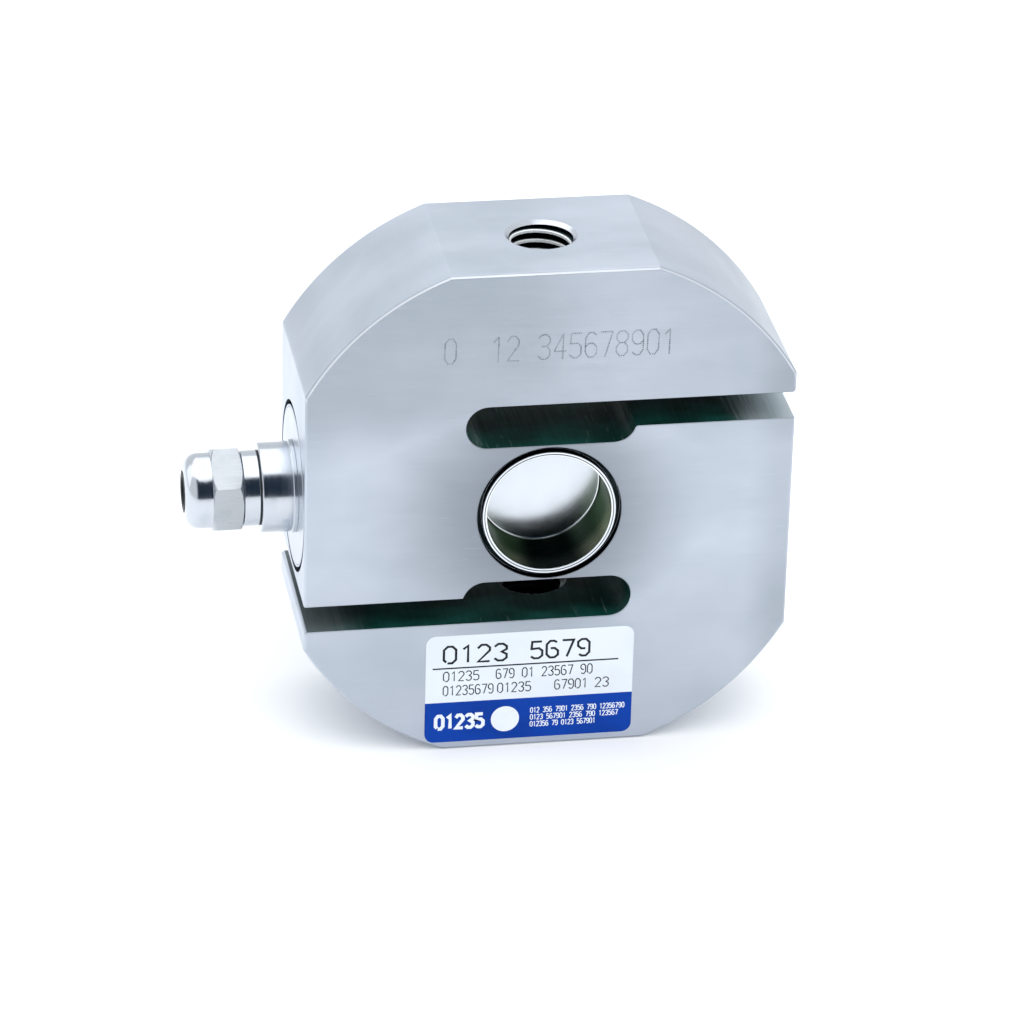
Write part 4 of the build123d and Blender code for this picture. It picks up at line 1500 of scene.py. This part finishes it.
def peenTree():
    tree, given, output = startTree("punchMarks", (
        ("Strokes", "Object", None), ("Mark", "Object", None), ("Spacing", "Float", 0.0003),
        ("Size Spread", "Float", 0.15), ("Seed", "Int", 7),
    ))
    get = given.outputs
    strokes = addNode(tree, "GeometryNodeObjectInfo")
    mark = addNode(tree, "GeometryNodeObjectInfo")
    dots = addNode(tree, "GeometryNodeCurveToPoints", mode="LENGTH")
    put = addNode(tree, "GeometryNodeInstanceOnPoints")
    spread = addNode(tree, "FunctionNodeRandomValue", data_type="FLOAT")
    low = minus(tree, 1.0, get["Size Spread"])
    high = plus(tree, 1.0, get["Size Spread"])
    wire(tree, (get["Strokes"], strokes.inputs["Object"]), (get["Mark"], mark.inputs["Object"]),
         (strokes.outputs["Geometry"], dots.inputs["Curve"]), (get["Spacing"], dots.inputs["Length"]),
         (dots.outputs["Points"], put.inputs["Points"]), (mark.outputs["Geometry"], put.inputs["Instance"]),
         (get["Seed"], spread.inputs["Seed"]))
    floats = [s for s in spread.inputs if s.type == "VALUE"]
    wire(tree, (low, floats[0]), (high, floats[1]))
    value = [s for s in spread.outputs if s.type == "VALUE"][0]
    wire(tree, (value, put.inputs["Scale"]))
    endTree(tree, put.outputs["Instances"], output, "peenedSteel")
    return tree


def makePeenedDigits():
    p = peenedDigits
    shapes = peenedStrokes()
    curve = bpy.data.curves.new("digitStrokes", "CURVE")
    curve.dimensions = "3D"
    for index, letter in enumerate(p["text"]):
        for stroke in shapes.get(letter, ()):
            spline = curve.splines.new("POLY")
            spline.points.add(len(stroke) - 1)
            for point, (x, z) in zip(spline.points, stroke):
                across = p["left"] + index * p["pitch"] + (x + p["lean"] * z) * p["width"]
                up = p["base"] + z * p["height"] / 2
                point.co = (*toFrame(Vector((across, -halfThickness, up))), 1.0)
    strokes = addPiece("digitStrokes", curve)
    mark = dotMesh(p)
    grow(peenTree(), {
        "Strokes": strokes,
        "Mark": mark,
        "Spacing": p["dotSpacing"] / metre,
        "Size Spread": p["sizeSpread"],
        "Seed": p["seed"],
    }, "peened_digits")
    for helper in (strokes, mark):
        bpy.data.objects.remove(helper)


# Pieces that stay as they are in the frame

def paintFrameNodes():
    plain = {
        "compensation_board": "boardLaminate",
        "gland_cage": "cageNylon",
    }
    for index in range(1, 5):
        plain["strain_gauge_%d" % index] = "gaugeFilm"
        plain["gauge_terminal_%d" % index] = "terminalCopper"
        plain["trim_resistor_%d" % index] = "resistorCoat"
    for index, colour in enumerate(("red", "green", "black", "white"), 1):
        plain["bridge_wire_%d" % index] = colour + "Wire"
    for index in range(1, 3):
        plain["board_screw_%d" % index] = "screwSteel"
    shown = {
        "spring_body": "groundSteel", "front_cup": "cupSteel", "rear_cup": "cupSteel",
        "side_cover": "coverSteel", "entry_boss": "turnedNickel", "gland_gasket": "blackRubber",
        "gland_body": "turnedNickel", "gland_seal": "blackRubber", "gland_cap": "hexNickel",
        "label": "labelWhite",
    }
    for node, material in {**plain, **shown}.items():
        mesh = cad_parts[node].data
        mesh.materials.clear()
        mesh.materials.append(looks[material])
    print("frame nodes painted:", len(plain) + len(shown))


# Floor, light and camera

studio = {
    "floorSize": 6.0,
    "floorTone": (0.86, 0.87, 0.88),
    "floorCloud": 0.985,
    "skyTone": (0.94, 0.97, 1.0),
    "skyStrength": 0.92,
    "darkTone": (0.020, 0.035, 0.060),
    "overheadPower": 4.0,
    "overheadSize": 1.1,
    "overheadPlace": (-0.10, 0.10, 0.75),
    "leftPower": 1.1,
    "leftSize": 0.7,
    "leftPlace": (-0.9, 0.35, 0.45),
    "fillStrength": 1.9,
    "fillSpread": 60.0,
    "fillFrom": (0.25, -0.75, 0.75),
}


def makeFloor(s):
    half = s["floorSize"] / 2
    corners = [(-half, -half, 0), (half, -half, 0), (half, half, 0), (-half, half, 0)]
    floor = solidOf("studio_floor", corners, [(0, 1, 2, 3)])
    tree, shader = startLook("paleFloor")
    cloud = noise(tree, (0.01, 0.01, 0.01), 2.0)
    tone = blendTones(tree, cloud, tuple(value * s["floorCloud"] for value in s["floorTone"]), s["floorTone"])
    tree.links.new(tone, shader.inputs["Base Color"])
    shader.inputs["Roughness"].default_value = 0.7
    shader.inputs["Specular IOR Level"].default_value = 0.2
    floor.data.materials.append(looks["paleFloor"])


def makeSky(s):
    world = bpy.data.worlds.new("studioWorld")
    bpy.context.scene.world = world
    world.use_nodes = True
    tree = world.node_tree
    background = tree.nodes["Background"]
    source = addNode(tree, "ShaderNodeTexCoord")
    apart = addNode(tree, "ShaderNodeSeparateXYZ")
    tree.links.new(source.outputs["Generated"], apart.inputs["Vector"])
    # the unlit room in front of the label, from the floor up to the overhead light
    toFront = span(tree, times(tree, apart.outputs["Y"], -1.0), 0.10, 0.42)
    low = span(tree, apart.outputs["Z"], 0.78, 0.90, 1.0, 0.0)
    aside = reckon(tree, "ABSOLUTE", apart.outputs["X"])
    dark = times(tree, times(tree, toFront, low), span(tree, aside, 0.35, 0.60, 1.0, 0.0))
    tree.links.new(blendTones(tree, dark, s["skyTone"], s["darkTone"]), background.inputs["Color"])
    background.inputs["Strength"].default_value = s["skyStrength"]


def makeLights(s):
    for name, power, size, spot in (
        ("overheadLight", s["overheadPower"], s["overheadSize"], s["overheadPlace"]),
        ("leftLight", s["leftPower"], s["leftSize"], s["leftPlace"]),
    ):
        lamp = bpy.data.lights.new(name, "AREA")
        lamp.shape = "SQUARE"
        lamp.size = size
        lamp.energy = power
        light = addPiece(name, lamp)
        light.location = spot
        light.rotation_euler = (middle - Vector(spot)).to_track_quat("-Z", "Y").to_euler()
    lamp = bpy.data.lights.new("fillLight", "SUN")
    lamp.energy = s["fillStrength"]
    lamp.angle = radians(s["fillSpread"])
    light = addPiece("fillLight", lamp)
    light.rotation_euler = (-Vector(s["fillFrom"])).to_track_quat("-Z", "Y").to_euler()
    light.visible_glossy = False


def makeStudio():
    makeFloor(studio)
    makeSky(studio)
    makeLights(studio)
    print("studio ready")


photoCamera = {
    "yaw": 10.156,
    "elevation": 27.066,
    "roll": 1.527,
    "distance": 0.9184,
    "right": -0.003792,
    "up": -0.006728,
    "focal": 189.25,
    "sensor": 36.0,
    "clipStart": 0.01,
}


def makeCamera():
    c = photoCamera
    yaw, elevation, roll = radians(c["yaw"]), radians(c["elevation"]), radians(c["roll"])
    back = Vector((-sin(yaw) * cos(elevation), -cos(yaw) * cos(elevation), sin(elevation)))
    level = (-back).cross(Vector((0, 0, 1))).normalized()
    upright = level.cross(-back)
    right = level * cos(roll) + upright * sin(roll)
    up = upright * cos(roll) - level * sin(roll)
    data = bpy.data.cameras.new("photoCamera")
    data.sensor_width = c["sensor"]
    data.lens = c["focal"]
    data.clip_start = c["clipStart"]
    camera = addPiece("photoCamera", data)
    spot = middle + back * c["distance"] + right * c["right"] + up * c["up"]
    camera.matrix_world = Matrix.Translation(spot) @ Matrix((right, up, back)).transposed().to_4x4()
    bpy.context.scene.camera = camera
    bpy.context.scene.view_settings.view_transform = "Standard"
    print("camera ready")


makeLooks()
paintFrameNodes()
makeSpringBody()
makeCups()
makeGland()
makeCap()
makeLabel()
makeThreads()
makePeenedDigits()
makeStudio()
makeCamera()
